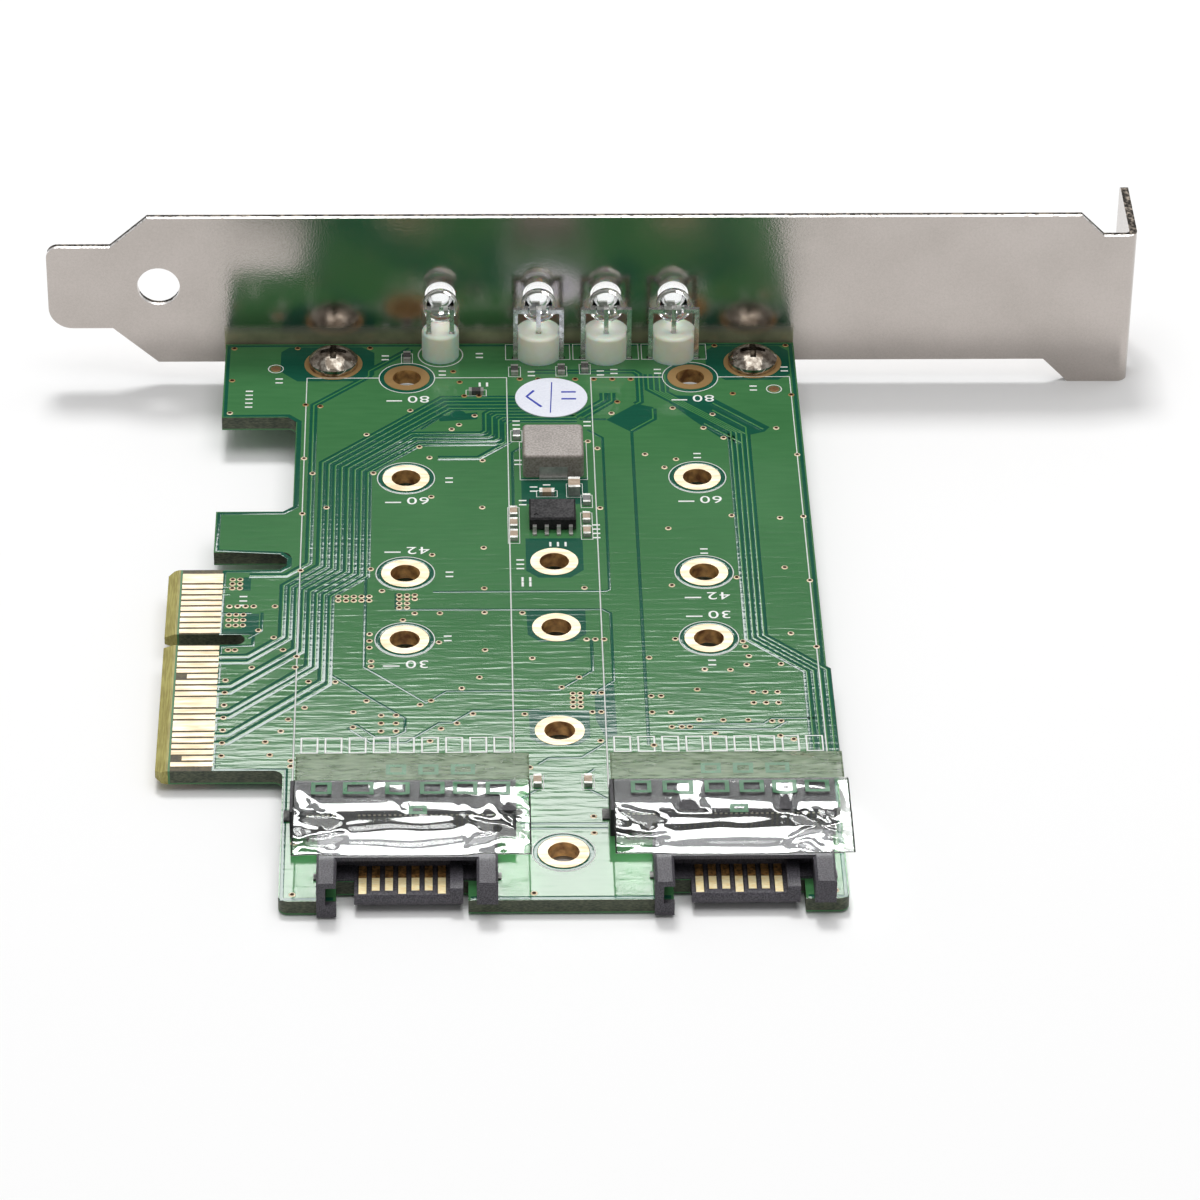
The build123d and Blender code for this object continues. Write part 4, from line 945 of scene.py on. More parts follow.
# %% Lamp innards
LAMP_XS = [sum(corner[0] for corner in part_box(f"lamp_{n}_lens")) / 2 / MM for n in LAMP_NUMBERS]
LENS_LOW, LENS_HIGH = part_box("lamp_1_lens")
LENS_Z = (LENS_LOW[2] + LENS_HIGH[2]) / 2 / MM
LENS_BACK = LENS_LOW[1] / MM


def block(build, low, high):
    """A box between two corners in millimetres."""
    x0, y0, z0 = (value * MM for value in low)
    x1, y1, z1 = (value * MM for value in high)
    corners = [build.verts.new((x, y, z)) for x in (x0, x1) for y in (y0, y1) for z in (z0, z1)]
    for face in ((0, 1, 3, 2), (4, 6, 7, 5), (0, 4, 5, 1), (2, 3, 7, 6), (0, 2, 6, 4), (1, 5, 7, 3)):
        build.faces.new([corners[n] for n in face])


LAMP_BLOCKS = (
    # low and high corner, from the lamp's middle, its back and the middle of its height
    ((-1.0, 0.3, -0.9), (-0.1, 2.1, -0.45)),
    ((0.35, 0.3, -0.9), (0.85, 1.9, -0.45)),
    ((-0.75, 1.5, -0.45), (0.15, 2.1, 0.1)),
)
innards = bmesh.new()
for lamp_x in LAMP_XS:
    base = (lamp_x, LENS_BACK, LENS_Z)
    for corners in LAMP_BLOCKS:
        block(innards, *([start + reach for start, reach in zip(base, corner)] for corner in corners))
bmesh.ops.recalc_face_normals(innards, faces=innards.faces[:])
mesh_piece("lamp_innards", innards, MATERIALS["tinned_metal"])

# %% [markdown]
# ## Via holes
# A via is a tiny plated hole that joins the copper layers. Covered by lacquer it
# shows as a pale ring round a dark well, drawn as a small disc of painted shade.
# One small ring is built once in the node tree and set on a cloud of points. Most
# vias stand in rows along the edge of the pour or in little squares that carry
# current.

# %% Via tree
RING_TOP = 0.72
WELL_RISE = 1.12


def via_tree():
    """A low ring and a well of painted shade on every point."""
    tree, given, out = new_group("Via on a point", "GeometryNodeTree", {
        "Geometry": (GEOMETRY, None),
        "Ring": (FLOAT, 0.3 * MM),
        "Well": (FLOAT, 0.16 * MM),
        "Height": (FLOAT, 0.03 * MM),
        "Ring Finish": (MATERIAL, None),
        "Well Finish": (MATERIAL, None),
    }, {"Geometry": GEOMETRY})
    ring = put(tree, "GeometryNodeMeshCone", {
        "Vertices": 14, "Radius Bottom": given["Ring"],
        "Radius Top": calc(tree, "MULTIPLY", given["Ring"], RING_TOP), "Depth": given["Height"]})
    plated = put(tree, "GeometryNodeSetMaterial", {
        "Geometry": ring.outputs["Mesh"], "Material": given["Ring Finish"]})
    well = put(tree, "GeometryNodeMeshCylinder", {
        "Vertices": 10, "Radius": given["Well"], "Depth": calc(tree, "MULTIPLY", given["Height"], WELL_RISE)})
    sunk = put(tree, "GeometryNodeSetMaterial", {
        "Geometry": well.outputs["Mesh"], "Material": given["Well Finish"]})
    raised = put(tree, "ShaderNodeCombineXYZ", {"Z": given["Height"]})
    centred = put(tree, "ShaderNodeVectorMath", {0: raised.outputs[0], 1: (0.5, 0.5, 0.5)}, operation="MULTIPLY")
    lifted = put(tree, "GeometryNodeTransform", {"Geometry": sunk.outputs[0], "Translation": centred.outputs[0]})
    both = put(tree, "GeometryNodeJoinGeometry")
    tree.links.new(plated.outputs[0], both.inputs[0])
    tree.links.new(lifted.outputs[0], both.inputs[0])
    placed = put(tree, "GeometryNodeInstanceOnPoints", {"Points": given["Geometry"], "Instance": both.outputs[0]})
    solid = put(tree, "GeometryNodeRealizeInstances", {"Geometry": placed.outputs[0]})
    tree.links.new(solid.outputs[0], out.inputs["Geometry"])
    return tree


VIA = via_tree()
print("tree:", VIA.name)

# %% Via places
SINGLE_VIAS = [
    (5.1, 51.3), (5.8, 49.1), (6.3, 46.3), (7.9, 46.3), (7.4, 42.3), (5.7, 40.5), (4.9, 39.6), (0.4, 43.4),
    (-4.3, 38.6), (1.4, 36.1), (2.5, 34.0), (8.2, 33.4), (-3.5, 31.0), (-9.4, 44.3), (23.0, 45.0),
    (22.3, 42.7),
    (29.0, 43.7), (33.3, 42.4), (32.2, 39.7), (34.3, 37.7), (35.7, 46.6), (40.1, 39.6), (25.7, 34.5),
    (29.0, 33.5), (27.7, 31.9), (20.6, 35.7), (20.6, 24.1), (19.6, 37.1), (8.1, 24.3),
    (8.2, 16.7), (2.7, 26.4),
    (2.8, 15.4), (8.2, 9.2), (18.6, 9.2), (1.0, 4.7), (3.6, 4.7), (8.2, 4.8), (12.1, 4.7), (-0.2, 3.5),
    (34.5, 22.6), (39.6, 22.1), (27.7, 20.2), (39.6, 12.8), (34.5, 11.0), (27.7, 9.6),
    (39.6, 0.8), (27.7, -0.1),
    (34.6, -0.6), (34.8, -1.5), (35.1, -3.2), (24.9, -3.4), (-3.6, 12.8), (-2.4, 8.8),
    (3.5, -0.5), (8.2, -1.9),
    (13.0, -3.4), (7.6, -6.7), (5.8, -8.6), (2.7, -10.7), (1.6, -11.4), (-7.0, -7.4),
    (-9.7, -7.3), (-10.0, -11.8),
    (-3.8, -10.7), (-5.1, -12.6), (-5.1, -15.2), (5.3, -14.6), (6.9, -13.0), (3.7, -15.5), (2.6, -17.6),
    (12.1, -13.1), (12.5, -22.1), (34.8, -4.7), (30.5, -5.5), (33.1, -5.6), (38.3, -4.6), (29.6, -9.0),
    (17.7, -6.8), (15.9, -8.5), (24.9, -12.9), (26.8, -12.9), (24.9, -18.5), (29.6, -14.2), (32.0, -14.3),
    (34.5, -14.3), (26.8, -15.4), (31.1, -16.5), (37.6, -17.0), (38.9, -17.6), (19.6, -17.7), (-12.4, -1.7),
    (-15.5, -4.8), (-13.4, 6.1), (-15.0, 1.8), (-13.4, 0.5), (-11.6, -13.8), (-12.3, -15.8), (-13.8, -17.6),
    (-13.3, -19.8), (-10.0, 31.0), (-8.4, 24.4), (18.6, -30.2), (18.6, -32.9), (-10.6, -34.3), (-10.6, -42.4),
    (12.6, -42.4), (41.6, -42.2), (-11.0, -2.9), (-11.1, -4.8),
]
VIA_ROWS = [
    ((12.4, 49.7), (24.6, 49.6), 7),
    ((-19.1, 56.2), (-19.2, 43.0), 3),
    ((-12.1, 56.2), (-4.1, 56.2), 2),
    ((42.1, 46.3), (42.1, -1.6), 5),
    ((-11.0, 44.6), (-10.9, 12.6), 4),
    ((-18.1, 6.1), (-15.6, 6.1), 4),
    ((-3.6, 1.0), (-3.6, -1.4), 3),
    ((-3.4, -3.8), (-3.4, -4.7), 2),
    ((18.6, -0.1), (20.4, -0.1), 3),
    ((24.9, -10.1), (25.9, -10.1), 2),
    ((36.9, -14.5), (37.8, -14.5), 2),
    ((27.8, -15.4), (28.6, -15.4), 2),
    ((38.8, -20.0), (40.4, -20.4), 3),
    ((18.9, -12.8), (19.8, -12.8), 2),
    ((19.1, -9.5), (19.9, -9.5), 2),
    ((34.1, 56.5), (42.0, 56.5), 2),
    ((-18.1, -7.0), (-18.1, -19.9), 7),
    ((-18.0, -1.7), (-17.3, -1.7), 2),
    ((-11.2, -20.8), (-11.2, -21.7), 2),
]
VIA_SQUARES = [
    (-17.9, 11.0, 2, 3, 0.78, 0.8),
    (-18.1, 4.6, 3, 3, 0.74, 0.95),
    (-6.9, 7.8, 5, 2, 0.8, 0.75),
    (-0.6, 8.0, 3, 2, 0.8, 0.7),
    (-0.6, 6.5, 2, 2, 0.8, 0.8),
    (17.0, -9.6, 2, 4, 0.75, 0.76),
    (35.2, -9.5, 3, 2, 1.25, 1.85),
    (-2.3, -13.2, 2, 3, 1.5, 1.35),
]


def even_steps(first, last, count):
    """Values from the first to the last in even steps."""
    return [first + (last - first) * n / count for n in range(count + 1)]


def via_points():
    """Every via's centre, from single places, rows and squares."""
    points = list(SINGLE_VIAS)
    for (x0, y0), (x1, y1), count in VIA_ROWS:
        points += zip(even_steps(x0, x1, count - 1), even_steps(y0, y1, count - 1))
    for x, y, columns, rows, step_x, step_y in VIA_SQUARES:
        points += [(x + i * step_x, y - j * step_y) for i in range(columns) for j in range(rows)]
    return points


def on_points(name, points, sizes, finishes, back=False):
    """Vias at points, with ring, well and height in millimetres and the finishes of ring and well."""
    mesh = bpy.data.meshes.new(name)
    mesh.from_pydata([(x * MM, y * MM, 0.0) for x, y in points], [], [])
    values = {label: size * MM for label, size in zip(("Ring", "Well", "Height"), sizes)}
    values.update(zip(("Ring Finish", "Well Finish"), finishes))
    return settle(baked(show(name + "_points", mesh), VIA, values, name, back))


VIA_SIZES = (0.35, 0.215, 0.05)
VIA_FINISHES = (MATERIALS["gold_plate"], VIA_WELL_SHADE)
FIDUCIALS = [(-14.41, 51.97), (40.27, 47.5)]
PIN_HOLES = [(5.6, 42.5), (25.8, 42.7)]
on_points("board_vias", via_points(), VIA_SIZES, VIA_FINISHES)
on_points("fiducial_marks", FIDUCIALS, (0.62, 0.4, 0.03), (COPPER, COPPER))
on_points("pin_holes", PIN_HOLES, (0.9, 0.7, 0.02), (GAP, GAP))

# %% [markdown]
# ## White ink
# Screen printing leaves a thin white coat with slightly soft edges. It outlines
# the drives, the lamps and the chips, and rings the screw holes. Numbers beside
# the holes give the length of drive that each one holds, and short bars mark the
# parts.

# %% Printed outlines
INK_WIDTH = 0.2
INK_HEIGHT = 0.025
RING_WIDTH = 0.17


def inked(name, lines, width, height=INK_HEIGHT, **choices):
    """Lines of white ink."""
    return ribbons(name, lines, width, height, INK_WHITE, "label_paper", **choices)


def box_line(x0, y0, x1, y1):
    """The four corners of a rectangle."""
    return [(x0, y0), (x1, y0), (x1, y1), (x0, y1)]


DRIVE_HALF = 10.95
DRIVE_TOP = 50.0
DRIVE_FOOT = -25.6
outlines = []
for x, left, right in ((LEFT_X, -DRIVE_HALF, DRIVE_HALF), (RIGHT_DRIVE_X, 20.2, 42.1)):
    outlines.append([(x - PRINT_RADIUS, DRIVE_TOP), (left, DRIVE_TOP), (left, DRIVE_FOOT)])
    outlines.append([(x + PRINT_RADIUS, DRIVE_TOP), (right, DRIVE_TOP), (right, DRIVE_FOOT)])
inked("drive_outlines", outlines, INK_WIDTH, INK_HEIGHT * 2.2)
CHIP_BOXES = [
    (-0.6, 53.0, 0.6, 55.0), (6.5, 46.3, 8.7, 47.5), (11.2, 50.2, 12.5, 52.2), (16.4, 50.3, 17.6, 52.3),
    (19.0, 50.7, 20.2, 52.7), (11.3, 37.1, 12.5, 39.3), (12.6, -25.8, 13.8, -23.4),
    (17.6, -25.8, 18.8, -23.4),
    (10.8, 17.5, 12.0, 24.3), (18.5, 20.8, 19.7, 23.2), (18.5, 18.2, 19.7, 20.6), (18.6, 24.2, 19.8, 26.6),
    (13.9, 26.3, 16.1, 27.5), (17.1, 26.2, 18.8, 28.8), (12.2, 29.6, 19.4, 37.0),
    (10.9, 53.7, 18.0, 56.85), (18.35, 53.7, 25.6, 56.85), (25.95, 53.7, 33.1, 56.85),
]
inked("chip_outlines", [box_line(*b) for b in CHIP_BOXES], 0.16, closed=True)
ink_rings = [circle(x, y, PRINT_RADIUS) for x, y in drive_holes + middle_holes[-1:]]
ink_rings += [circle(3.7, 54.75, 2.45)] + [circle(*place, 0.82, 24) for place in FIDUCIALS]
inked("printed_rings", ink_rings, RING_WIDTH, closed=True)

# %% Printed numbers and bars
NUMBER_HEIGHT = 1.35
FONT_SHARE = 1.4
DIGIT_PITCH = 1.3
DIGIT_STRETCH = 1.25
DIGIT_DEPTH = 0.006
DIGIT_LIFT = 0.02
NUMBER_REACH = 4.3
NUMBERS = [
    ("80", LEFT_X, 50.0 - NUMBER_REACH), ("60", LEFT_X, 30.0 - NUMBER_REACH),
    ("42", LEFT_X, 12.0 + NUMBER_REACH), ("30", LEFT_X, -NUMBER_REACH),
    ("80", RIGHT_DRIVE_X, 50.0 - NUMBER_REACH), ("60", RIGHT_DRIVE_X, 30.0 - NUMBER_REACH),
    ("42", RIGHT_DRIVE_X, 12.0 - NUMBER_REACH), ("30", RIGHT_DRIVE_X, NUMBER_REACH),
]


def digit(text, x, y):
    """A digit printed upside down, as it reads from the bracket's side."""
    data = bpy.data.curves.new("number", "FONT")
    data.body = text
    data.size = NUMBER_HEIGHT * FONT_SHARE * MM
    data.align_x = "CENTER"
    data.align_y = "CENTER"
    data.extrude = DIGIT_DEPTH * MM
    mesh = mesh_of(show("number", data))
    turn = Matrix.Rotation(math.pi, 4, "Z") @ Matrix.Scale(DIGIT_STRETCH, 4, (1, 0, 0))
    mesh.transform(Matrix.Translation(Vector((x, y, DIGIT_LIFT)) * MM) @ turn)
    return mesh


def join_meshes(name, meshes, finish):
    """Several meshes as one piece with one finish."""
    build = bmesh.new()
    for mesh in meshes:
        build.from_mesh(mesh)
        bpy.data.meshes.remove(mesh)
    return mesh_piece(name, build, finish)


digits = [
    digit(mark, x + (1.5 - place) * DIGIT_PITCH, y)
    for text, x, y in NUMBERS for place, mark in enumerate(text)
]
join_meshes("hole_numbers", digits, INK_WHITE)
BARS = [[(x - 2.2, y - 0.35), (x - 0.5, y - 0.35)] for _, x, y in NUMBERS]
BAR_PLACES = [
    (-17.2, 47.4, 0, 5), (-14.0, 49.9, 0, 2), (-2.4, 54.6, 0, 2), (-6.2, 52.4, 0, 2), (8.0, 55.0, 0, 2),
    (3.9, 51.4, 0, 2), (8.0, 48.6, 1, 2), (13.7, 51.2, 0, 2), (21.3, 51.3, 0, 2), (22.8, 51.6, 0, 2),
    (27.6, 51.6, 0, 2), (38.0, 48.1, 0, 2), (41.6, 52.0, 0, 2), (11.9, 41.2, 0, 2), (12.0, 33.4, 0, 2),
    (13.6, 28.2, 0, 2), (15.0, 28.6, 0, 2), (12.4, 25.6, 0, 2), (20.1, 20.9, 0, 4), (15.2, 17.3, 1, 3),
    (12.0, 14.4, 0, 3), (12.2, 10.8, 1, 2), (12.2, 9.9, 1, 2), (4.6, 30.0, 0, 2), (4.6, 12.2, 0, 2),
    (4.4, 0.6, 0, 2), (31.3, 34.6, 0, 2), (31.3, 16.3, 0, 2), (31.3, -3.9, 0, 2), (-16.7, 7.9, 0, 3),
    (19.6, 41.0, 0, 2),
]
BAR_GAP, BAR_REACH = 0.8, 0.4
for x, y, flat, count in BAR_PLACES:
    for n in range(count):
        step = n * BAR_GAP
        if flat:
            BARS += [[(x + step, y - BAR_REACH), (x + step, y + BAR_REACH)]]
        else:
            BARS += [[(x - BAR_REACH, y - step), (x + BAR_REACH, y - step)]]
inked("printed_bars", BARS, 0.3)

# %% [markdown]
# ## Clear films over the sockets
# A film is taped flat to the board in front of each drive socket, rises over the
# socket and is stretched over the cable plug. It was pressed on by hand, so it
# lies in long soft folds that run along the card. Each fold is a low ridge along
# a wavering line, added to the film's height, and folds of different sizes cross
# at the ends. The film stays a closed sheet with a real thickness and a pale cut
# edge.

# %% Film height
FILM_PROFILE = (
    (-19.7, 0.04), (-25.3, 0.04), (-26.36, 1.2), (-28.1, 3.24), (-33.3, 3.50), (-34.8, 3.22), (-40.05, 3.05),
)
LEFT_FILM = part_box("left_cover_film")
FILM_HALF = (LEFT_FILM[1][0] - LEFT_FILM[0][0]) / 2 / MM
FILM_OFFSET = (LEFT_FILM[1][0] + LEFT_FILM[0][0]) / 2 / MM
FILM_THICKNESS = 0.03
FILM_COLUMNS = 118
FILM_ROWS = 112
PROFILE_BLUR = 0.35
FOLDS = (
    # start x, end x, start y, end y, waver, width, height
    (-11.2, -6.4, -34.2, -35.0, 0.5, 0.55, 0.20),
    (-10.9, -6.0, -37.9, -36.6, 0.5, 0.50, 0.18),
    (5.2, 11.3, -34.4, -37.4, 0.6, 0.50, 0.24),
    (5.0, 10.8, -38.2, -35.6, 0.5, 0.45, 0.20),
    (8.6, 11.4, -33.8, -38.8, 0.4, 0.45, 0.18),
    (-9.0, 4.0, -31.6, -32.1, 0.4, 0.6, 0.035),
    (2.0, 11.0, -29.6, -30.0, 0.5, 0.6, 0.05),
)
STEEP_RUNS = ((-35.9, 0.17), (-38.1, 0.18))
RUN_MIDDLE, RUN_HALF, RUN_END, RUN_BLUR = -0.9, 6.0, 0.45, 0.24
LOOSE_START, PATCH_START, DRAWN_START = -25.8, -28.8, -33.2


def ramp(distance, length):
    """From nought to one over a length."""
    return min(1.0, max(0.0, distance / length))


def fold_height(x, y, seed):
    """Height of the tallest fold that passes near a point."""
    total = 0.0
    for count, (x0, x1, y0, y1, waver, width, height) in enumerate(FOLDS):
        share = (x - x0) / (x1 - x0)
        fade = min(1.0, max(0.0, min(share, 1 - share) * 4 + 0.1))
        wander = waver * 2.0 * noise.noise(Vector((x * 0.22, count * 7.3, seed)))
        middle = y0 + (y1 - y0) * share + wander
        total = max(total, fade * height * math.exp(-((y - middle) / width) ** 2))
    return total


def profile_height(y):
    """Height of the film's middle line, by straight runs between the profile's points."""
    for (y0, z0), (y1, z1) in zip(FILM_PROFILE, FILM_PROFILE[1:]):
        if y >= y1:
            return z0 + (z1 - z0) * (y0 - y) / (y0 - y1)
    return FILM_PROFILE[-1][1]


def soft_profile(y):
    """The profile with its corners eased."""
    steps = (-2, -1, 0, 1, 2)
    return sum(profile_height(y + s * PROFILE_BLUR) for s in steps) / len(steps)


def run_share(x):
    """One along the middle of the film, nought at its crumpled ends."""
    return 1 / (1 + math.exp((abs(x - RUN_MIDDLE) - RUN_HALF) / RUN_END))


def steep_drop(x, y, seed):
    """Height lost in the steep runs, which lie between flatter ones."""
    lost = 0.0
    for count, (middle, drop) in enumerate(STEEP_RUNS):
        wander = 0.75 * noise.noise(Vector((x * 0.17, count * 7.3, seed)))
        lost += drop / (1 + math.exp((y - middle - wander) / RUN_BLUR))
    return lost


def film_height(x, y, seed):
    """Height of the film's underside at a point."""
    loose = ramp(LOOSE_START - y, 2.5)
    drawn = ramp(DRAWN_START - y, 1.0)
    middle = run_share(x)
    right = ramp(x - 1.0, 7.0)
    swell = noise.noise(Vector((x * 0.15, y * 0.42, seed + 3.1)))
    ripple = noise.noise(Vector((x * 0.4, y * 1.1, seed + 9.4)))
    crumple = noise.noise(Vector((x * 0.55 + y * 0.3, y * 0.62 - x * 0.25, seed + 5.7)))
    slack = 0.045 + (0.025 + 0.035 * drawn) * swell + 0.006 * ripple + fold_height(x, y, seed)
    height = soft_profile(y) + loose * slack
    patches = max(0.0, noise.noise(Vector((x * 0.42, y * 0.16, seed + 1.3))) * 1.5 - 0.25 + 0.65 * right)
    height -= loose * patches * 0.15 * max(0.0, PATCH_START - y) * (1 - drawn)
    height -= steep_drop(x, y, seed) * (0.55 + 0.45 * middle)
    return height + drawn * (1 - middle) * 0.22 * crumple


print("film height over the socket:", round(film_height(0.0, -31.0, 0.0), 2))

# %% Film sheets
FILM_EDGE = grained(
    "cut edge of the film", (0.62, 0.66, 0.60), (0.40, 0.44, 0.39), 260.0, 1800.0, 4.0, 0.3, 0.5)


def film_grid(build, centre, seed, xs, ys, lift):
    """Rows of points at a lift above the film's underside."""
    return [
        [build.verts.new(((x + centre) * MM, y * MM, (film_height(x, y, seed) + lift) * MM)) for x in xs]
        for y in ys
    ]


def skin(build, grid):
    """Faces between the neighbouring points of a grid."""
    for far, near in zip(grid, grid[1:]):
        for i in range(len(far) - 1):
            build.faces.new((far[i], near[i], near[i + 1], far[i + 1]))


def film_sheet(name, centre, seed):
    """A closed sheet of film over one socket and plug."""
    build = bmesh.new()
    xs = even_steps(-FILM_HALF, FILM_HALF, FILM_COLUMNS)
    ys = even_steps(FILM_PROFILE[0][0], FILM_PROFILE[-1][0], FILM_ROWS)
    low, high = [film_grid(build, centre, seed, xs, ys, lift) for lift in (0.0, FILM_THICKNESS)]
    skin(build, low)
    skin(build, high)
    rim = [(0, i) for i in range(FILM_COLUMNS)] + [(j, FILM_COLUMNS) for j in range(FILM_ROWS)]
    rim += [(FILM_ROWS, i) for i in range(FILM_COLUMNS, 0, -1)] + [(j, 0) for j in range(FILM_ROWS, 0, -1)]
    for (j0, i0), (j1, i1) in zip(rim, rim[1:] + rim[:1]):
        build.faces.new((high[j0][i0], high[j1][i1], low[j1][i1], low[j0][i0])).material_index = 1
    bmesh.ops.recalc_face_normals(build, faces=build.faces[:])
    for face in build.faces:
        face.smooth = abs(face.normal.z) > 0.2
    made = mesh_piece(name, build, MATERIALS["clear_film"])
    made.data.materials.append(FILM_EDGE)
    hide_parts(name.replace("creased", "cover"))
    return made


FILM_SEEDS = {
    "left_creased_film": (LEFT_X + FILM_OFFSET, 1.7),
    "right_creased_film": (RIGHT_DRIVE_X + FILM_OFFSET, 6.2),
}
for film_name, (film_x, film_seed) in FILM_SEEDS.items():
    film_sheet(film_name, film_x, film_seed)

# %% [markdown]
# ## What is printed on the films
# The flat front of each film is a strip of tape, which looks olive because its
# glue is matt over the green. Small frames in green ink are printed over the
# socket and laid on the film's own height, so that they follow its folds. A row
# of white frames stands on the board in front of each film.

# %% Tape strips and printed frames
TAPE = grained(
    "matt tape", (0.21, 0.28, 0.16), (0.085, 0.135, 0.06), 500.0, 2600.0, 12.0, 0.45, 0.7,
    share=0.6, stretch=(0.2, 1.0, 1.0), Alpha=0.7, Specular_IOR_Level=0.3)
PRINT_LIFT = 0.012
PRINT_STEP = 0.3


def laid_patch(build, centre, seed, x0, x1, y0, y1, lift):
    """A rectangle laid on the film's top, cut fine enough to follow its folds."""
    xs = even_steps(x0, x1, max(1, round(abs(x1 - x0) / PRINT_STEP)))
    ys = even_steps(y0, y1, max(1, round(abs(y1 - y0) / PRINT_STEP)))
    skin(build, film_grid(build, centre, seed, xs, ys, FILM_THICKNESS + lift))


GREEN_MARKS = (
    # centre x, width, far y, near y
    (8.4, 2.4, -28.9, -31.0), (5.2, 2.4, -28.9, -31.0), (2.0, 2.4, -28.9, -31.0), (-1.4, 2.4, -28.9, -31.0),
    (-5.2, 3.0, -28.9, -31.0), (-8.8, 2.0, -28.9, -31.0), (5.0, 2.4, -21.6, -23.3), (1.6, 2.0, -21.6, -23.3),
    (-1.6, 2.0, -21.6, -23.3), (0.6, 1.8, -33.0, -34.2),
)
MARK_STROKE = 0.42
tape_build, mark_build = bmesh.new(), bmesh.new()


def laid_frame(build, centre, seed, x, width, far, near):
    """A small printed rectangle, as four strokes."""
    left, right = x - width / 2, x + width / 2
    strokes = (
        (left, left + MARK_STROKE, far, near),
        (right - MARK_STROKE, right, far, near),
        (left + MARK_STROKE, right - MARK_STROKE, far, far - MARK_STROKE),
        (left + MARK_STROKE, right - MARK_STROKE, near + MARK_STROKE, near),
    )
    for x0, x1, y0, y1 in strokes:
        laid_patch(build, centre, seed, x0, x1, y0, y1, PRINT_LIFT * 1.6)


for film_x, film_seed in FILM_SEEDS.values():
    laid_patch(tape_build, film_x, film_seed, -FILM_HALF, FILM_HALF, -19.75, -25.0, PRINT_LIFT)
    for x, width, far, near in GREEN_MARKS:
        laid_frame(mark_build, film_x, film_seed, x, width, far, near)
mesh_piece("film_tape", tape_build, TAPE)
mesh_piece("film_print", mark_build, INK_GREEN)
FRAME_LEFT, FRAME_PITCH, FRAME_WIDTH, FRAME_COUNT = -10.2, 2.4, 1.6, 9
FRAME_FAR, FRAME_NEAR = -17.0, -19.5
board_frames = [
    box_line(x + n * FRAME_PITCH, FRAME_NEAR, x + n * FRAME_PITCH + FRAME_WIDTH, FRAME_FAR)
    for x in (FRAME_LEFT, FRAME_LEFT + RIGHT_DRIVE_X) for n in range(FRAME_COUNT)
]
inked("board_print", board_frames, 0.3, closed=True)

# %% [markdown]
# ## Marks on the round label
# The label is white coated paper with blue print. A thin line divides it, with a
# tick on one side and two bars on the other.

# %% Label print
LABEL_LOW, LABEL_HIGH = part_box("round_label")
LABEL_X, LABEL_Y = ((LABEL_LOW[axis] + LABEL_HIGH[axis]) / 2 / MM for axis in (0, 1))


def on_label(*points):
    """A line given from the label's middle."""
    return [(LABEL_X + x, LABEL_Y + y) for x, y in points]


LABEL_MARKS = [
    on_label((-1.9, 1.4), (-2.7, 0.2), (-1.1, -1.9)),
    on_label((1.1, 1.1), (2.7, 1.1)),
    on_label((1.1, -0.3), (2.7, -0.3)),
]
LABEL_LINE = [on_label((0.1, 3.1), (-0.15, -3.1))]
for name, lines, width in (("label_marks", LABEL_MARKS, 0.34), ("label_line", LABEL_LINE, 0.16)):
    ribbons(name, lines, width, 0.02, INK_BLUE, "label_paper", top=LABEL_HIGH[2] / MM)

# %% [markdown]
# ## The back face
# The back isn't in the photograph. It repeats what such a card has there: the
# vias come through, some tracks run from the fingers to the drive socket, the
# soldered legs end in small cones, and a white outline frames the drive.

# %% Back face artwork
on_points("back_vias", via_points(), VIA_SIZES, VIA_FINISHES, back=True)
ribbons("back_tracks", [left_track(n) for n in (0, 2, 4, 6)], TRACK_WIDTH, TRACK_HEIGHT, TRACK, back=True)
ribbons(
    "back_hole_rings", hole_rings, PRINT_RADIUS - PAD_RADIUS, GAP_HEIGHT * 1.3, GAP,
    closed=True, back=True)
BACK_LEFT, BACK_RIGHT, BACK_FOOT, BACK_TOP = MIDDLE_X - DRIVE_HALF, MIDDLE_X + DRIVE_HALF, -35.93, 40.2
back_outlines = [
    [(MIDDLE_X - PRINT_RADIUS, BACK_FOOT), (BACK_LEFT, BACK_FOOT), (BACK_LEFT, BACK_TOP)],
    [(MIDDLE_X + PRINT_RADIUS, BACK_FOOT), (BACK_RIGHT, BACK_FOOT), (BACK_RIGHT, BACK_TOP)],
]
inked("back_drive_outline", back_outlines, INK_WIDTH, back=True)
back_rings = [circle(MIDDLE_X, y, PRINT_RADIUS) for y in BACK_HOLES]
inked("back_printed_rings", back_rings, RING_WIDTH, INK_HEIGHT * 1.2, closed=True, back=True)
LEG_INSET = 0.25
solder_points = []
for number in LAMP_NUMBERS:
    low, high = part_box(f"lamp_{number}_leads")
    row = low[1] / MM + LEG_INSET
    solder_points += [(low[0] / MM + LEG_INSET, row), (high[0] / MM - LEG_INSET, row)]
TIN = MATERIALS["tinned_metal"]
on_points("solder_cones", solder_points, (0.8, 0.3, 0.45), (TIN, TIN), back=True)

# %% [markdown]
# ## Studio
# A large soft box stands behind and above the card. Its lower edge is what the
# near half of the board mirrors, and that is where the white streaks start. The
# background is white for the camera, for gloss and for glass, and the light that
# falls on the card is set apart from it, so that colours stay as written. A dark
# card behind the camera gives the bright screws something to mirror, and a grey
# one behind the bracket stands above the box in what the far board mirrors.

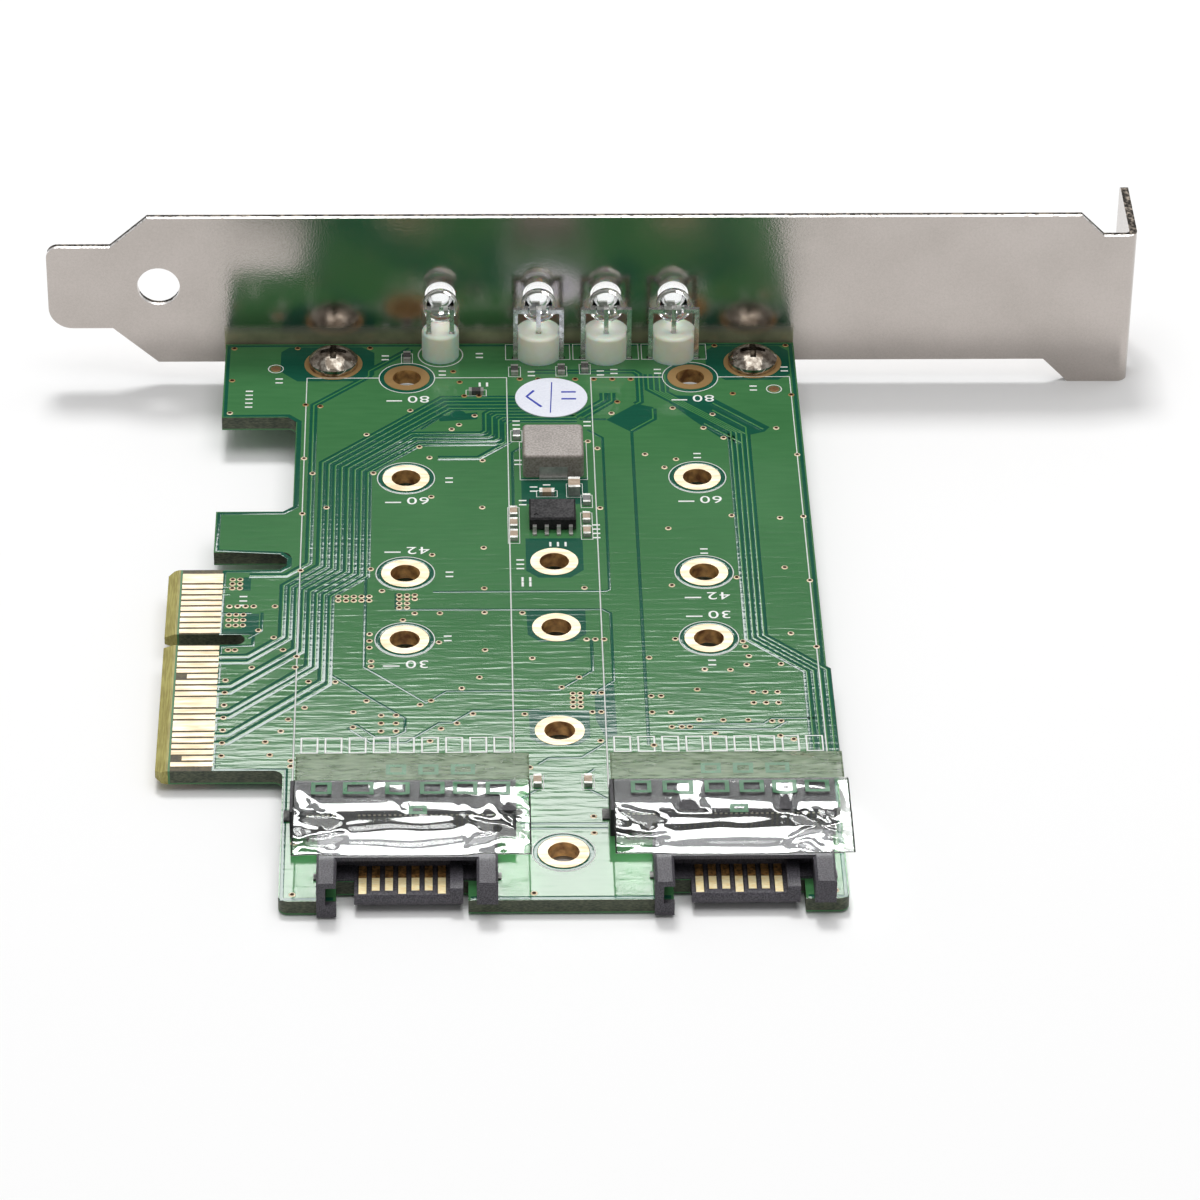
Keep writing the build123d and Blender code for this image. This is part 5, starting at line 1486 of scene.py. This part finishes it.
# %% World, floor and soft boxes
FILL_LEVEL = 0.34
GLOSS_LEVEL = 0.42
CLEAR_LEVEL = 0.35
FLOOR_COLOUR = rgba(0.93, 0.93, 0.93)
FLOOR_NEAR = -1.76
FLOOR_SLOPE_Y = -0.0349
FLOOR_SLOPE_X = -0.0016
FLOOR_SIZE = 3.0
FLOOR_PIVOT_X, FLOOR_PIVOT_Y = -12 * MM, -43.5 * MM
SQUARE = ((-1, -1), (1, -1), (1, 1), (-1, 1))


def light_world():
    """White to look at, and dimmer where it lights matt surfaces."""
    world = bpy.data.worlds.new("studio")
    world.use_nodes = True
    tree = world.node_tree
    tree.nodes.clear()
    path = put(tree, "ShaderNodeLightPath").outputs
    dimmed = calc(tree, "MULTIPLY", path["Is Transmission Ray"], CLEAR_LEVEL)
    through = calc(tree, "MAXIMUM", path["Is Camera Ray"], dimmed)
    mirrored = ranged(tree, path["Is Glossy Ray"], 0.0, 1.0, FILL_LEVEL, GLOSS_LEVEL)
    level = blend(tree, through, mirrored, 1.0, "FLOAT")
    backdrop = put(tree, "ShaderNodeBackground", {"Color": rgba(1, 1, 1), "Strength": level})
    put(tree, "ShaderNodeOutputWorld", {"Surface": backdrop.outputs[0]})
    bpy.context.scene.world = world


def staged_sheet(name, corners, colour):
    """A flat matt sheet that belongs to the studio."""
    mesh = bpy.data.meshes.new(name)
    mesh.from_pydata(corners, [], [(0, 1, 2, 3)])
    made, tree, surface = blank_material(name)
    tree.nodes.remove(surface)
    matt = put(tree, "ShaderNodeBsdfDiffuse", {"Color": colour})
    tree.links.new(matt.outputs[0], tree.nodes["Material Output"].inputs["Surface"])
    mesh.materials.append(made)
    sheet = show(name, mesh)
    return sheet


def lay_floor():
    """A pale floor in the plane that the card's three lowest points rest on."""
    corners = []
    for x, y in SQUARE:
        px, py = x * FLOOR_SIZE, y * FLOOR_SIZE
        rise = FLOOR_SLOPE_Y * (py - FLOOR_PIVOT_Y) + FLOOR_SLOPE_X * (px - FLOOR_PIVOT_X)
        corners.append((px, py, FLOOR_NEAR * MM + rise))
    return staged_sheet("floor", corners, FLOOR_COLOUR)


def soft_box(name, place, target, width, height, power, in_gloss=True, in_matt=True):
    """A rectangular lamp that faces a point."""
    data = bpy.data.lights.new(name, "AREA")
    data.shape = "RECTANGLE"
    data.size = width
    data.size_y = height
    data.energy = power
    lamp = show(name, data)
    lamp.location = place
    lamp.rotation_euler = (Vector(target) - Vector(place)).to_track_quat("-Z", "Y").to_euler()
    lamp.visible_glossy = in_gloss
    lamp.visible_diffuse = in_matt
    lamp.visible_camera = False
    return lamp


def dark_card(name, place, half_width, half_height, tone):
    """A dark card that faces the object, which only mirror-like and clear surfaces show."""
    corners = [(x * half_width, y * half_height, 0) for x, y in SQUARE]
    card = staged_sheet(name, corners, rgba(tone, tone, tone))
    card.matrix_world = Matrix.Translation(place) @ place.to_track_quat("Z", "Y").to_matrix().to_4x4()
    card.visible_camera = card.visible_diffuse = card.visible_shadow = False
    return card


light_world()
lay_floor()
TARGET = (0.015, -0.02, 0.0)
soft_box("back_box", (0.015, 0.846, 0.816), TARGET, 0.7, 0.30, 6.8, in_matt=False)
soft_box("top_box", (0.1, 0.0, 1.3), (0.015, 0.0, 0.0), 1.3, 1.3, 8.8)
soft_box("key_box", (-0.05, 0.48, 1.03), (0.015, 0.0, 0.0), 0.25, 0.25, 5.0, in_gloss=False)
dark_card("card_behind_camera", CAMERA_PLACE * 1.25, 0.27, 0.16, 0.02)
dark_card("card_behind_bracket", Vector((0.015, 1.0, 0.56)), 0.8, 0.155, 0.16)
bpy.context.scene.view_settings.view_transform = "Standard"
